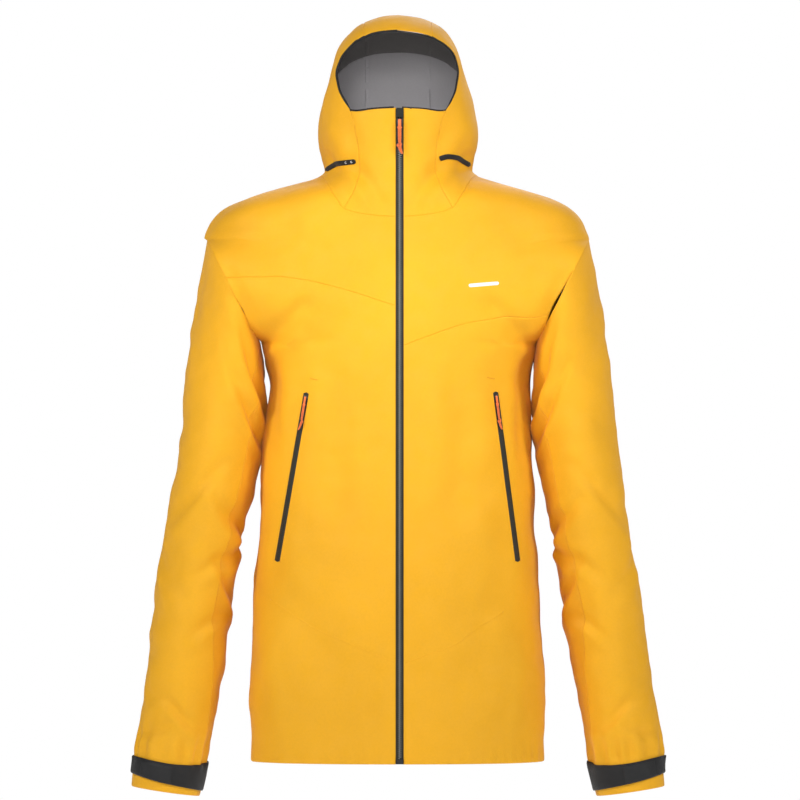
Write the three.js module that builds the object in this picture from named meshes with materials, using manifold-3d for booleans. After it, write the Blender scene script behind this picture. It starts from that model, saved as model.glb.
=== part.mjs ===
// Hooded hardshell jacket: body, hood and sleeves as cut panels, with its zips, cuff tabs,
// adjusters, linings and hem drawcord. Millimetres, +Z up, the wearer faces -Y.
// The design is drawn about the middle of the body and then moved so that the origin is the
// inside of the hanger loop at the nape.
import * as THREE from 'three';
import { mergeVertices } from 'three/addons/utils/BufferGeometryUtils.js';
import Module from 'manifold-3d';

const wasm = await Module();
wasm.setup();

// ---- driving dimensions ------------------------------------------------------------------
const CLOTH = 1.4;          // outer fabric, with its membrane and backer
const LINING = 0.9;         // inner fabrics
const GAP = 0.4;            // left between neighbouring pieces
const HEM_Z = -703;         // bottom edge of the body
const CHIN_Z = 78;          // top of the closed zip
const CROWN_Z = 193;        // top of the hood
const FRONT_HEM = 122;      // depth of the front at the hem, from the middle of the body
const FRONT_CHIN = 108;     // the same at the chin: the closed zip is a straight line
const CHEST = 229;          // half-width at the shoulder points
const SHOULDER_Z = -78;
const ARMPIT_X = 165;
const ARMPIT_Z = -201;
const ARMHOLE_DEPTH = 95;   // half of the armhole, front to back
const ZIP_X = 2;            // the main zip's centre line
const ZIP_SLOT = 4.7;       // half of the gap between the fronts
const TAPE_WIDTH = 14;      // each half of the zip tape
const TEETH_WIDTH = 2.7;
const TEETH_PROUD = 0.3;
const POCKET_LENGTH = 205;
const POCKET_SLOT = 3.3;    // half of a pocket zip's slot
const CENTRE_PANEL = 40;    // half-width of the hood's centre panel
const NAPE_Y = 84;          // where the hanger loop sits
const LOOP_REACH = 9;       // how far the loop stands in from the wall
const LOOP_WIDTH = 8;
const CORD_RADIUS = 1.2;
const LOCK_RADIUS = 6;
const LOCK_CLEARANCE = 0.3;
const LOCK_HEIGHT = 16;
const FAR = 400;            // past everything, for cutting outlines
const RING_STEPS = 24;
const SLEEVE_STEPS = 16;

// ---- the body and hood form: height, half-width, front depth, back depth, roundness -------
const frontDepth = (z) => {
  const share = (CHIN_Z - z) / (CHIN_Z - HEM_Z);
  return FRONT_CHIN + (FRONT_HEM - FRONT_CHIN) * share;
};

const armholeX = (z) => {
  const share = (SHOULDER_Z - z) / (SHOULDER_Z - ARMPIT_Z);
  return CHEST + (ARMPIT_X - CHEST) * share;
};

const armholeRow = (share, backDepth) => {
  const z = SHOULDER_Z + (ARMPIT_Z - SHOULDER_Z) * share;
  const roundness = 2.3;
  const along = 2 * share - 1;
  const halfDepth = ARMHOLE_DEPTH * Math.sqrt(1 - along * along);
  const left = 1 - (halfDepth / frontDepth(z)) ** roundness;
  return [z, armholeX(z) / left ** (1 / roundness), frontDepth(z), backDepth, roundness];
};

const lowRow = (z, halfWidth, backDepth) => [z, halfWidth, frontDepth(z), backDepth, 2.3];

const FORM = [
  lowRow(HEM_Z, 175, 118),
  lowRow(-640, 175, 116),
  lowRow(-571, 171, 113),
  lowRow(-500, 166, 109),
  lowRow(-420, 163, 107),
  lowRow(-340, 160, 110),
  lowRow(-268, 156, 116),
  lowRow(ARMPIT_Z, ARMPIT_X, 120),
  armholeRow(0.88, 120.5),
  armholeRow(0.72, 121),
  armholeRow(0.5, 121),
  armholeRow(0.28, 120),
  armholeRow(0.12, 118),
  lowRow(SHOULDER_Z, CHEST, 117),
  [-64, 223, frontDepth(-64), 115, 2.2],
  [-50, 215, frontDepth(-50), 112, 2.15],
  [-40, 203, frontDepth(-40), 109, 2.1],
  [-31, 185, frontDepth(-31), 105, 2.05],
  [-21, 155, frontDepth(-21), 100, 2],
  [-12, 122, frontDepth(-12), 95, 1.95],
  [-5, 100, frontDepth(-5), 91, 1.95],
  [4, 88, frontDepth(4), 90, 2],
  [20, 92, frontDepth(20), 98, 2.05],
  [46, 96, frontDepth(46), 109, 2.1],
  [CHIN_Z, 92, frontDepth(CHIN_Z), 117, 2.1],
  [113, 83, 106, 116, 2.1],
  [142, 74, 103, 106, 2.1],
  [164, 62, 94, 90, 2.1],
  [179, 46, 72, 68, 2.1],
  [188, 27, 42, 42, 2.05],
];

const power = (value, exponent) => Math.sign(value) * Math.abs(value) ** exponent;

const bodyRing = ([z, halfWidth, front, back, roundness]) => {
  const ring = [];
  for (let step = 0; step < RING_STEPS; step += 1) {
    const angle = (2 * Math.PI * step) / RING_STEPS;
    const x = halfWidth * power(Math.cos(angle), 2 / roundness);
    const y = power(Math.sin(angle), 2 / roundness);
    ring.push(new THREE.Vector3(x, y < 0 ? y * front : y * back, z));
  }
  return ring;
};

// ---- solids ------------------------------------------------------------------------------
const solidOf = (geometry) => {
  const bare = geometry.clone();
  bare.deleteAttribute('normal');
  bare.deleteAttribute('uv');
  const merged = mergeVertices(bare, 1e-4);
  const vertProperties = Float32Array.from(merged.attributes.position.array);
  const triVerts = Uint32Array.from(merged.index.array);
  return new wasm.Manifold(new wasm.Mesh({ numProp: 3, vertProperties, triVerts }));
};

const geometryOf = (solid) => {
  const mesh = solid.getMesh();
  const geometry = new THREE.BufferGeometry();
  geometry.setAttribute('position', new THREE.BufferAttribute(mesh.vertProperties, 3));
  geometry.setIndex(new THREE.BufferAttribute(mesh.triVerts, 1));
  geometry.computeVertexNormals();
  return geometry;
};

const middle = (ring) => {
  const sum = new THREE.Vector3();
  ring.forEach((point) => sum.add(point));
  return sum.divideScalar(ring.length);
};

const loft = (rings, top = middle(rings.at(-1))) => {
  const count = rings[0].length;
  const points = rings.flat();
  points.push(middle(rings[0]), top);
  const index = [];
  for (let row = 0; row < rings.length - 1; row += 1) {
    for (let step = 0; step < count; step += 1) {
      const a = row * count + step;
      const b = row * count + ((step + 1) % count);
      index.push(a, b, b + count, a, b + count, a + count);
    }
  }
  const last = (rings.length - 1) * count;
  for (let step = 0; step < count; step += 1) {
    const next = (step + 1) % count;
    index.push(points.length - 2, next, step);
    index.push(points.length - 1, last + step, last + next);
  }
  const geometry = new THREE.BufferGeometry().setFromPoints(points);
  geometry.setIndex(index);
  return solidOf(geometry);
};

// rings moved along their own surface's normal
const offsetRings = (rings, distance) => rings.map((ring, row) => ring.map((point, step) => {
  const count = ring.length;
  const along = ring[(step + 1) % count].clone().sub(ring[(step + count - 1) % count]);
  const below = rings[Math.max(row - 1, 0)][step];
  const above = rings[Math.min(row + 1, rings.length - 1)][step];
  const up = above.clone().sub(below);
  const normal = along.cross(up).normalize();
  return point.clone().addScaledVector(normal, distance);
}));

const movedRing = (ring, shift) => ring.map((point) => point.clone().add(shift));

const bodyRings = FORM.map(bodyRing);

const bodySolid = (distance, open) => {
  const rings = offsetRings(bodyRings, distance);
  if (open) {
    rings.unshift(movedRing(rings[0], new THREE.Vector3(0, 0, -20)));
  }
  return loft(rings, new THREE.Vector3(0, 0, CROWN_Z + distance));
};

// a layer of cloth between two distances out from the body's surface
const bodyLayer = (outer, inner) => bodySolid(outer, false).subtract(bodySolid(inner, true));

const prism = (outline, nearY, farY) => {
  const shape = new THREE.Shape(outline.map(([x, z]) => new THREE.Vector2(x, z)));
  const geometry = new THREE.ExtrudeGeometry(shape, { depth: farY - nearY, bevelEnabled: false });
  geometry.rotateX(Math.PI / 2);
  geometry.translate(0, farY, 0);
  return solidOf(geometry);
};

const FRONT = [-FAR, -GAP / 2];
const BACK = [GAP / 2, FAR];
const THROUGH = [-FAR, FAR];

const mirrored = (outline) => outline.map(([x, z]) => [-x, z]);
const onSide = (side, outline) => (side > 0 ? outline : mirrored(outline));
const shifted = (outline, dx, dz) => outline.map(([x, z]) => [x + dx, z + dz]);

const box = (x0, x1, z0, z1) => [[x0, z0], [x1, z0], [x1, z1], [x0, z1]];

// a band of one width along a line drawn in the front view
const band = (line, width) => {
  const left = [];
  const right = [];
  line.forEach(([x, z], i) => {
    const [px, pz] = line[Math.max(i - 1, 0)];
    const [nx, nz] = line[Math.min(i + 1, line.length - 1)];
    const length = Math.hypot(nx - px, nz - pz);
    const dx = (-(nz - pz) / length) * (width / 2);
    const dz = ((nx - px) / length) * (width / 2);
    left.push([x + dx, z + dz]);
    right.unshift([x - dx, z - dz]);
  });
  return [...left, ...right];
};

// ---- seams, in the front view: x and z ------------------------------------------------------
const NECK_SEAM = [[0, -52], [30, -50], [64, -42]];
const COLLAR_SIDE = [[64, -42], [46, -12], [45, 14], [44, 80]];
const HOOD_FOOT = [[64, -42], [78, -22], [92, -3], [FAR, -3]];
const YOKE_SEAM = {
  1: [[0, -208], [36, -194], [61, -185], [86, -178], [112, -174], [142, -171], [FAR, -171]],
  [-1]: [[0, -159], [-69, -137], [-112, -127], [-146, -123], [-165, -124], [-FAR, -124]],
};
const FACE = [
  [0, 171], [30, 167], [53, 156], [70, 139], [75, 122], [72, 104], [64, 86], [57, 75], [52, 73],
  [30, 76], [0, 78],
];
const BACK_YOKE_Z = -150;
const NECK_Z = -3;
const LINING_ARC = [[-FAR, 60], [-110, 86], [-75, 112], [-40, 136], [0, 148], [40, 136], [75, 112],
  [110, 86], [FAR, 60]];

const faceOutline = [...FACE, ...mirrored(FACE.slice(1, -1)).reverse()];
const faceHole = prism(faceOutline, -FAR, -25);

// the space past the armholes, where the sleeves take over
const beyondArmhole = (side) => prism(onSide(side, [
  [ARMPIT_X, ARMPIT_Z], [CHEST, SHOULDER_Z], [CHEST + 30, SHOULDER_Z + 58], [FAR, SHOULDER_Z + 58],
  [FAR, ARMPIT_Z],
]), ...THROUGH);

// ---- the assembly ---------------------------------------------------------------------------
const jacket = new THREE.Group();
jacket.position.set(0, -NAPE_Y, 0);
const part = new THREE.Group();
part.add(jacket);

const FABRIC = { color: 0xf0b429, roughness: 0.75, metalness: 0 };
const UNDER_FABRIC = { color: 0xe0a020, roughness: 0.75, metalness: 0 };
const GREY = { color: 0x69666a, roughness: 0.85, metalness: 0 };
const DARK = { color: 0x403e3d, roughness: 0.8, metalness: 0 };
const TAPE = { color: 0x23261e, roughness: 0.8, metalness: 0 };
const TEETH = { color: 0x51504c, roughness: 0.45, metalness: 0 };
const CORD = { color: 0xe1733c, roughness: 0.7, metalness: 0 };

const addGeometry = (name, geometry, look) => {
  const mesh = new THREE.Mesh(geometry, new THREE.MeshStandardMaterial(look));
  mesh.name = name;
  jacket.add(mesh);
  return mesh;
};

const add = (name, solid, look) => addGeometry(name, geometryOf(solid), look);

const shell = bodyLayer(0, -CLOTH)
  .subtract(beyondArmhole(1))
  .subtract(beyondArmhole(-1))
  .subtract(faceHole);

const INNER = [-CLOTH - GAP, -CLOTH - GAP - LINING];
const inner = bodyLayer(...INNER)
  .subtract(beyondArmhole(1))
  .subtract(beyondArmhole(-1))
  .subtract(faceHole);

const sideName = (side) => (side > 0 ? 'left' : 'right');
const zipEdge = (side, distance) => ZIP_X + side * distance;

// pocket zips: straight from a top point to a bottom point on each front
const POCKET_TOP = { 1: [116, -260], [-1]: [-109, -261] };
const POCKET_FOOT = { 1: [143, -463], [-1]: [-144, -463] };
const pocketLine = (side, extra) => {
  const [tx, tz] = POCKET_TOP[side];
  const [fx, fz] = POCKET_FOOT[side];
  const length = Math.hypot(fx - tx, fz - tz);
  const ux = (fx - tx) / length;
  const uz = (fz - tz) / length;
  return [[tx - ux * extra, tz - uz * extra],
    [tx + ux * (POCKET_LENGTH + extra), tz + uz * (POCKET_LENGTH + extra)]];
};

const addFronts = (side) => {
  const edge = zipEdge(side, ZIP_SLOT);
  const seam = YOKE_SEAM[side];
  const far = side * FAR;
  const seamFromEdge = seam.filter(([x]) => side * x > side * edge);
  const seamStart = [edge, seam[0][1] + (seam[1][1] - seam[0][1]) * (edge / seam[1][0])];
  const yokeFoot = [seamStart, ...seamFromEdge];
  const pocketHole = prism(band(pocketLine(side, 0), 2 * POCKET_SLOT), ...FRONT);

  const front = prism([[edge, HEM_Z - 10], ...shifted(yokeFoot, 0, -GAP / 2), [far, HEM_Z - 10]],
    ...FRONT);
  add(`front_panel_${sideName(side)}`, shell.intersect(front).subtract(pocketHole), FABRIC);

  const neck = onSide(side, NECK_SEAM).slice(1);
  const yokeTop = [[edge, NECK_SEAM[0][1]], ...neck, ...onSide(side, HOOD_FOOT).slice(1)];
  const yoke = prism([...shifted(yokeFoot, 0, GAP / 2), ...shifted(yokeTop, 0, -GAP).reverse()],
    ...FRONT);
  add(`front_yoke_${sideName(side)}`, shell.intersect(yoke), FABRIC);

  const collarTop = FACE.slice(-2, -1);
  const collarSide = shifted(onSide(side, COLLAR_SIDE), -side * GAP, 0);
  const collar = prism([[edge, NECK_SEAM[0][1]], neck[0], ...collarSide, ...onSide(side, collarTop),
    [edge, CHIN_Z + 5]], ...FRONT);
  add(`collar_${sideName(side)}`, shell.intersect(collar), FABRIC);

  const liningEdge = zipEdge(side, TAPE_WIDTH + GAP);
  const collarLining = prism([[liningEdge, -44], [side * 50, -38], [side * 43, -12], [side * 42, 14],
    [side * 40, 71], [liningEdge, 74]], ...FRONT);
  add(`collar_lining_${sideName(side)}`, inner.intersect(collarLining), GREY);
};

const addBack = () => {
  add('back_panel', shell.intersect(prism(box(-FAR, FAR, HEM_Z - 10, BACK_YOKE_Z - GAP / 2),
    ...BACK)), FABRIC);
  add('back_yoke', shell.intersect(prism(box(-FAR, FAR, BACK_YOKE_Z + GAP / 2, NECK_Z - GAP),
    ...BACK)), FABRIC);
};

// ---- hood: everything above the neck line except the collar -----------------------------------
const HOOD_LINING_INSET = 4;
const hoodRegion = (distance) => {
  const foot = shifted(HOOD_FOOT, 0, distance);
  const edge = shifted(COLLAR_SIDE, distance, distance);
  const outline = [...edge, [55 + distance, FAR], [FAR, FAR], ...foot.slice(1).reverse()];
  const sides = [1, -1].map((side) => prism(onSide(side, outline), ...FRONT));
  const over = prism([[-58, 100], [58, 100], [58, FAR], [-58, FAR]], -FAR, 0.1);
  const back = prism(box(-FAR, FAR, NECK_Z + distance, FAR), -GAP, FAR);
  return sides[0].add(sides[1]).add(over).add(back);
};

const addHood = () => {
  const cloth = shell.intersect(hoodRegion(0));
  const centre = prism(box(-CENTRE_PANEL, CENTRE_PANEL, -60, FAR), -FAR, FAR);
  add('hood_centre_panel', cloth.intersect(centre), FABRIC);
  [1, -1].forEach((side) => {
    const half = prism(box(Math.min(side * (CENTRE_PANEL + GAP), side * FAR),
      Math.max(side * (CENTRE_PANEL + GAP), side * FAR), -60, FAR), -FAR, FAR);
    add(`hood_panel_${sideName(side)}`, cloth.intersect(half), FABRIC);
  });
  const lined = inner.intersect(hoodRegion(HOOD_LINING_INSET));
  const below = prism([...LINING_ARC, [FAR, -60], [-FAR, -60]], ...THROUGH);
  const above = prism([...shifted(LINING_ARC, 0, GAP), [FAR, FAR], [-FAR, FAR]], ...THROUGH);
  add('hood_lining', lined.intersect(below), GREY);
  add('hood_facing', lined.intersect(above), DARK);
  addHoodAdjusters();
};

const STRIP = { 1: [[50, 17], [60, 20], [70, 19], [86, 11]], [-1]: [[-50, 14], [-73, 12], [-86, 5]] };
const STRIP_WIDTH = 6;

const addHoodAdjusters = () => {
  const onTop = bodyLayer(GAP + CLOTH, GAP);
  [1, -1].forEach((side) => {
    add(`hood_adjuster_${sideName(side)}`,
      onTop.intersect(prism(band(STRIP[side], STRIP_WIDTH), -FAR, 0)), DARK);
  });
  add('hood_rear_adjuster', onTop.intersect(prism(box(-9, 9, 40, 86), 0, FAR)), DARK);
};

// ---- main zip -----------------------------------------------------------------------------
const ZIP_FOOT = HEM_Z + 6;
const GARAGE_Z = 66;
const zipSlope = Math.atan((FRONT_HEM - FRONT_CHIN) / (CHIN_Z - HEM_Z));

const addMainZip = () => {
  const teethLayer = bodyLayer(TEETH_PROUD, -CLOTH);
  const flapLayer = bodyLayer(INNER[1] - GAP, INNER[1] - GAP - LINING);
  [1, -1].forEach((side) => {
    const bar = (near, far, low, high) => {
      const a = zipEdge(side, near);
      const b = zipEdge(side, far);
      return prism(box(Math.min(a, b), Math.max(a, b), low, high), -FAR, 0);
    };
    add(`zip_tape_${sideName(side)}`, inner.intersect(bar(0.2, TAPE_WIDTH, HEM_Z, CHIN_Z - 1)), TAPE);
    add(`zip_teeth_${sideName(side)}`,
      teethLayer.intersect(bar(0.2, TEETH_WIDTH, ZIP_FOOT + 1, GARAGE_Z - 1)), TEETH);
  });
  add('storm_flap', flapLayer.intersect(prism(box(ZIP_X - 24, ZIP_X + 20, HEM_Z + 3, CHIN_Z - 3),
    -FAR, 0)), GREY);
  const trim = bodyLayer(1.2, -CLOTH);
  const slot = (low, high) => prism(box(zipEdge(-1, ZIP_SLOT - GAP), zipEdge(1, ZIP_SLOT - GAP),
    low, high), -FAR, 0);
  add('zip_garage', trim.intersect(slot(GARAGE_Z, CHIN_Z)), TAPE);
  add('zip_retaining_box', trim.intersect(slot(HEM_Z, ZIP_FOOT)), TAPE);
};

// a slider lies on its zip: local X across, local Z up the zip, local -Y out of the cloth
const BRIDGE = 1.6;         // how far a slider's bridge stands up, to carry the pull
const sliderGeometry = (width, height, thick) => {
  const shape = new THREE.Shape();
  const shoulder = width / 2;
  shape.moveTo(-shoulder * 0.7, -height / 2);
  shape.lineTo(shoulder * 0.7, -height / 2);
  shape.lineTo(shoulder, height * 0.1);
  shape.lineTo(shoulder * 0.75, height / 2);
  shape.lineTo(-shoulder * 0.75, height / 2);
  shape.lineTo(-shoulder, height * 0.1);
  const plate = new THREE.ExtrudeGeometry(shape, { depth: thick, bevelEnabled: false });
  plate.rotateX(Math.PI / 2);
  const rooted = 0.1;
  const bridge = new THREE.BoxGeometry(width * 0.3, BRIDGE + rooted, height * 0.65);
  bridge.translate(0, -thick - (BRIDGE - rooted) / 2, 0);
  return geometryOf(solidOf(plate).add(solidOf(bridge)));
};

const SLIDER_WIDTH = 8.4;
const SLIDER_HEIGHT = 12;
const SLIDER_THICK = 1.8;
const SLIDER_Z = GARAGE_Z - SLIDER_HEIGHT / 2 - 1;
const PULL_WIDTH = 4.6;
const PULL_THICK = 2;
const PULL_LENGTH = 32;

const surfaceFront = (z) => -frontDepth(z);

const addMainSlider = () => {
  const holder = new THREE.Group();
  holder.position.set(ZIP_X, surfaceFront(SLIDER_Z) - TEETH_PROUD - GAP, SLIDER_Z);
  holder.rotation.x = -zipSlope;
  const slider = new THREE.Mesh(
    sliderGeometry(SLIDER_WIDTH, SLIDER_HEIGHT, SLIDER_THICK),
    new THREE.MeshStandardMaterial(TAPE),
  );
  slider.name = 'main_slider';
  holder.add(slider);
  jacket.add(holder);
  const bridgeY = holder.position.y - SLIDER_THICK - BRIDGE;
  addPull('main_pull', new THREE.Vector3(ZIP_X, bridgeY - GAP, SLIDER_Z + 4), 0, PULL_LENGTH,
    PULL_WIDTH);
};

// a pull hangs straight down: a bar, a flange across it and the cord below with its end knot
const addPull = (name, place, facing, length, width) => {
  const shape = new THREE.Shape();
  const half = width / 2;
  const flangeZ = -length * 0.28;
  shape.moveTo(-half * 0.8, 0);
  shape.lineTo(-half * 0.8, flangeZ);
  shape.lineTo(-half * 1.3, flangeZ - 1);
  shape.lineTo(-half * 0.8, flangeZ - 3);
  shape.lineTo(-half * 0.7, -length * 0.75);
  shape.lineTo(-half * 1.2, -length * 0.85);
  shape.lineTo(-half * 0.5, -length);
  shape.lineTo(half * 0.5, -length);
  shape.lineTo(half * 1.2, -length * 0.85);
  shape.lineTo(half * 0.7, -length * 0.75);
  shape.lineTo(half * 0.8, flangeZ - 3);
  shape.lineTo(half * 1.3, flangeZ - 1);
  shape.lineTo(half * 0.8, flangeZ);
  shape.lineTo(half * 0.8, 0);
  const geometry = new THREE.ExtrudeGeometry(shape, { depth: PULL_THICK, bevelEnabled: false });
  geometry.rotateX(Math.PI / 2);
  const mesh = addGeometry(name, geometry, CORD);
  mesh.position.copy(place);
  mesh.rotation.z = facing;
};

// ---- pockets ------------------------------------------------------------------------------
const POCKET_BAG = {
  1: [[100, -240], [146, -330], [150, -520], [123, -527], [91, -546], [67, -563], [30, -577],
    [24, -250]],
  [-1]: [[-100, -240], [-146, -330], [-150, -510], [-101, -541], [-66, -556], [-38, -568],
    [-26, -573], [-22, -250]],
};
const POCKET_SLIDER_WIDTH = 5;
const POCKET_SLIDER_HEIGHT = 9;
const POCKET_SLIDER_THICK = 1.4;
const POCKET_SLIDER_RAISE = -0.52;

const frontPoint = (x, z) => {
  let below = FORM[0];
  let above = FORM[1];
  FORM.forEach((row, i) => {
    if (row[0] <= z && i + 1 < FORM.length) {
      below = row;
      above = FORM[i + 1];
    }
  });
  const share = (z - below[0]) / (above[0] - below[0]);
  const value = (k) => below[k] + (above[k] - below[k]) * share;
  const y = -value(2) * (1 - Math.abs(x / value(1)) ** value(4)) ** (1 / value(4));
  return new THREE.Vector3(x, y, z);
};

const addPocket = (side) => {
  const name = sideName(side);
  const tape = prism(band(pocketLine(side, 5), 17), ...FRONT);
  add(`pocket_zip_${name}`, inner.intersect(tape), TAPE);
  const bagLayer = bodyLayer(INNER[1] - GAP, INNER[1] - GAP - LINING);
  add(`pocket_bag_${name}`, bagLayer.intersect(prism(POCKET_BAG[side], ...FRONT)), GREY);

  const [[tx, tz], [fx, fz]] = pocketLine(side, -8);
  const top = frontPoint(tx, tz);
  const foot = frontPoint(fx, fz);
  const down = foot.clone().sub(top).normalize();
  const along = frontPoint(tx + 3, tz).sub(frontPoint(tx - 3, tz)).normalize();
  const out = along.clone().cross(down).normalize();
  out.multiplyScalar(-Math.sign(out.y));
  const across = out.clone().cross(down).normalize();
  const basis = new THREE.Matrix4().makeBasis(across, out.clone().negate(), down.clone().negate());
  const slider = new THREE.Mesh(
    sliderGeometry(POCKET_SLIDER_WIDTH, POCKET_SLIDER_HEIGHT, POCKET_SLIDER_THICK),
    new THREE.MeshStandardMaterial(TAPE),
  );
  slider.name = `pocket_slider_${name}`;
  slider.quaternion.setFromRotationMatrix(basis);
  slider.position.copy(top).addScaledVector(out, POCKET_SLIDER_RAISE);
  jacket.add(slider);
  const level = new THREE.Vector3(out.x, out.y, 0).normalize();
  const stand = POCKET_SLIDER_RAISE + POCKET_SLIDER_THICK + BRIDGE + GAP;
  const place = top.clone().addScaledVector(level, stand);
  place.z += 2;
  addPull(`pocket_pull_${name}`, place, Math.atan2(level.x, -level.y), 26, 4);
};

// ---- sleeves ------------------------------------------------------------------------------
// each row: outer edge x and z, inner edge x and z, half of the depth
const SLEEVE = [
  [CHEST, SHOULDER_Z, ARMPIT_X, ARMPIT_Z, ARMHOLE_DEPTH],
  [238, -125, 160, -240, 90],
  [247, -180, 159, -278, 83],
  [256, -245, 162, -315, 76],
  [266, -330, 169, -355, 70],
  [278, -420, 185, -436, 63],
  [290, -505, 199, -520, 57],
  [303, -600, 212, -613, 52],
  [316, -690, 228, -703, 48],
  [320, -733, 238, -745, 46],
];
const SLEEVE_GAP = 0.6;

const sleeveRings = (side) => SLEEVE.map(([ox, oz, ix, iz, depth], row) => {
  const centre = new THREE.Vector3(side * (ox + ix) / 2, 0, (oz + iz) / 2);
  const half = new THREE.Vector3(side * (ox - ix) / 2, 0, (oz - iz) / 2);
  if (row === 0) {
    const out = new THREE.Vector3(side * -half.z * side, 0, half.x * side).normalize();
    centre.addScaledVector(new THREE.Vector3(side * Math.abs(out.x), 0, -Math.abs(out.z)), SLEEVE_GAP);
  }
  const ring = [];
  for (let step = 0; step < SLEEVE_STEPS; step += 1) {
    const angle = (2 * Math.PI * step) / SLEEVE_STEPS;
    ring.push(centre.clone().addScaledVector(half, Math.cos(angle))
      .add(new THREE.Vector3(0, side * depth * Math.sin(angle), 0)));
  }
  return ring;
}).reverse();

const sleeveSolid = (side, distance, open) => {
  const rings = offsetRings(sleeveRings(side), distance);
  if (open) {
    rings.unshift(movedRing(rings[0], new THREE.Vector3(side * 2, 0, -12)));
    rings.push(movedRing(rings.at(-1), new THREE.Vector3(-side * 18, 0, 9)));
  }
  return loft(rings);
};

const sleeveLayer = (side, outer, innerDistance) => (
  sleeveSolid(side, outer, false).subtract(sleeveSolid(side, innerDistance, true)));

const UNDER_SEAM = [[ARMPIT_X + 3, ARMPIT_Z + 20], [ARMPIT_X + 6, ARMPIT_Z - 40], [190, -380],
  [219, -510], [222, -586], [227, -663], [232, -760]];
const TAB = [[326, -694], [281, -704], [254, -706], [226, -699], [230, -737], [275, -729],
  [326, -719]];
const PATCH = [[324, -697], [281, -706], [254, -708], [246, -706], [250, -731], [275, -727],
  [324, -717]];

const addSleeve = (side) => {
  const name = sideName(side);
  const cloth = sleeveLayer(side, 0, -CLOTH);
  const seam = onSide(side, UNDER_SEAM);
  const inside = [[side * 100, UNDER_SEAM[0][1]], ...seam, [side * 100, -760]];
  const outside = [[side * FAR, 0], [seam[0][0], 0], ...seam, [side * FAR, -760]];
  add(`sleeve_under_${name}`,
    cloth.intersect(prism(shifted(inside, -side * GAP / 2, 0), ...THROUGH)), UNDER_FABRIC);
  add(`sleeve_outer_${name}`,
    cloth.intersect(prism(shifted(outside, side * GAP / 2, 0), ...THROUGH)), FABRIC);
  const patch = sleeveLayer(side, GAP + 0.8, GAP);
  add(`cuff_patch_${name}`, patch.intersect(prism(onSide(side, PATCH), ...FRONT)), DARK);
  const tab = sleeveLayer(side, 2 * GAP + 2.2, 2 * GAP + 0.8);
  add(`cuff_tab_${name}`, tab.intersect(prism(onSide(side, TAB), ...FRONT)), DARK);
};

// ---- hem, drawcord and hanger loop -------------------------------------------------------------
const HEM_FACING_Z = -663;
const CORD_INSET = -INNER[1] + 2 * GAP + CORD_RADIUS;
const CORD_Z = HEM_Z + 14;

const addHem = () => {
  const ringZ = (low, high) => {
    const right = prism(box(-FAR, zipEdge(-1, 30), low, high), ...THROUGH);
    const left = prism(box(zipEdge(1, 30), FAR, low, high), ...THROUGH);
    const back = prism(box(-60, 60, low, high), 0, FAR);
    return right.add(left).add(back);
  };
  add('hem_facing', inner.intersect(ringZ(HEM_Z + 1, HEM_FACING_Z)), FABRIC);

  const ring = offsetRings(bodyRings, -CORD_INSET)[0];
  const route = [];
  const steps = 28;
  const start = 0.14;
  for (let i = 0; i <= steps; i += 1) {
    const share = start + ((1 - 2 * start) * i) / steps;
    const at = (0.75 + share) * RING_STEPS;
    const from = ring[Math.floor(at) % RING_STEPS];
    const to = ring[(Math.floor(at) + 1) % RING_STEPS];
    const point = from.clone().lerp(to, at - Math.floor(at));
    route.push(new THREE.Vector3(point.x, point.y, CORD_Z));
  }
  const section = new THREE.Shape();
  section.absarc(0, 0, CORD_RADIUS, 0, 2 * Math.PI);
  const path = new THREE.CatmullRomCurve3(route);
  const cord = new THREE.ExtrudeGeometry(section, { steps: 36, curveSegments: 3, extrudePath: path });
  addGeometry('hem_drawcord', cord, DARK);
  addCordLock('left', route[0], route[2]);
  addCordLock('right', route.at(-1), route.at(-3));
};

const addCordLock = (name, end, before) => {
  const bore = 3.9;
  const along = before.clone().sub(end).normalize();
  const inward = new THREE.Vector3(-along.y, along.x, 0);
  inward.multiplyScalar(-Math.sign(inward.dot(end)));
  const place = end.clone().addScaledVector(inward, CORD_RADIUS + GAP + LOCK_CLEARANCE + LOCK_RADIUS);
  const { x, y } = place;
  const wall = [[0, 0], [LOCK_RADIUS, 0], [LOCK_RADIUS, LOCK_HEIGHT], [bore, LOCK_HEIGHT],
    [bore, 5], [0, 5]].map(([r, z]) => new THREE.Vector2(r, z));
  const body = new THREE.LatheGeometry(wall, 24);
  body.rotateX(Math.PI / 2);
  const lock = addGeometry(`cord_lock_body_${name}`, body, DARK);
  lock.position.set(x, y, CORD_Z - LOCK_HEIGHT / 2);
  const button = new THREE.CylinderGeometry(bore - LOCK_CLEARANCE, bore - LOCK_CLEARANCE, 12, 24);
  button.rotateX(Math.PI / 2);
  const cap = addGeometry(`cord_lock_button_${name}`, button, TEETH);
  cap.position.set(x, y, CORD_Z - LOCK_HEIGHT / 2 + 8.4 + 6);
};

const addHangerLoop = () => {
  const wallY = NAPE_Y + 1.8;
  const line = [[-22, wallY], [-16, wallY - LOOP_REACH * 0.7], [0, wallY - LOOP_REACH],
    [16, wallY - LOOP_REACH * 0.7], [22, wallY]];
  const outline = new THREE.Shape(band(line, 1.2).map(([x, y]) => new THREE.Vector2(x, y)));
  const loop = new THREE.ExtrudeGeometry(outline, { depth: LOOP_WIDTH, bevelEnabled: false });
  addGeometry('hanger_loop', loop, DARK).position.z = -LOOP_WIDTH / 2 - 5;
};

[1, -1].forEach(addFronts);
addBack();
addHood();
addMainZip();
addMainSlider();
[1, -1].forEach(addPocket);
[1, -1].forEach(addSleeve);
addHem();
addHangerLoop();

export default part;
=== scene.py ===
"""Hooded hardshell jacket: cloth panels, linings, zips, cuff tabs, adjusters and hem, built
around the packed frame. Shapes are drawn in millimetres about the middle of the body and
placed in metres."""
import math

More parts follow.
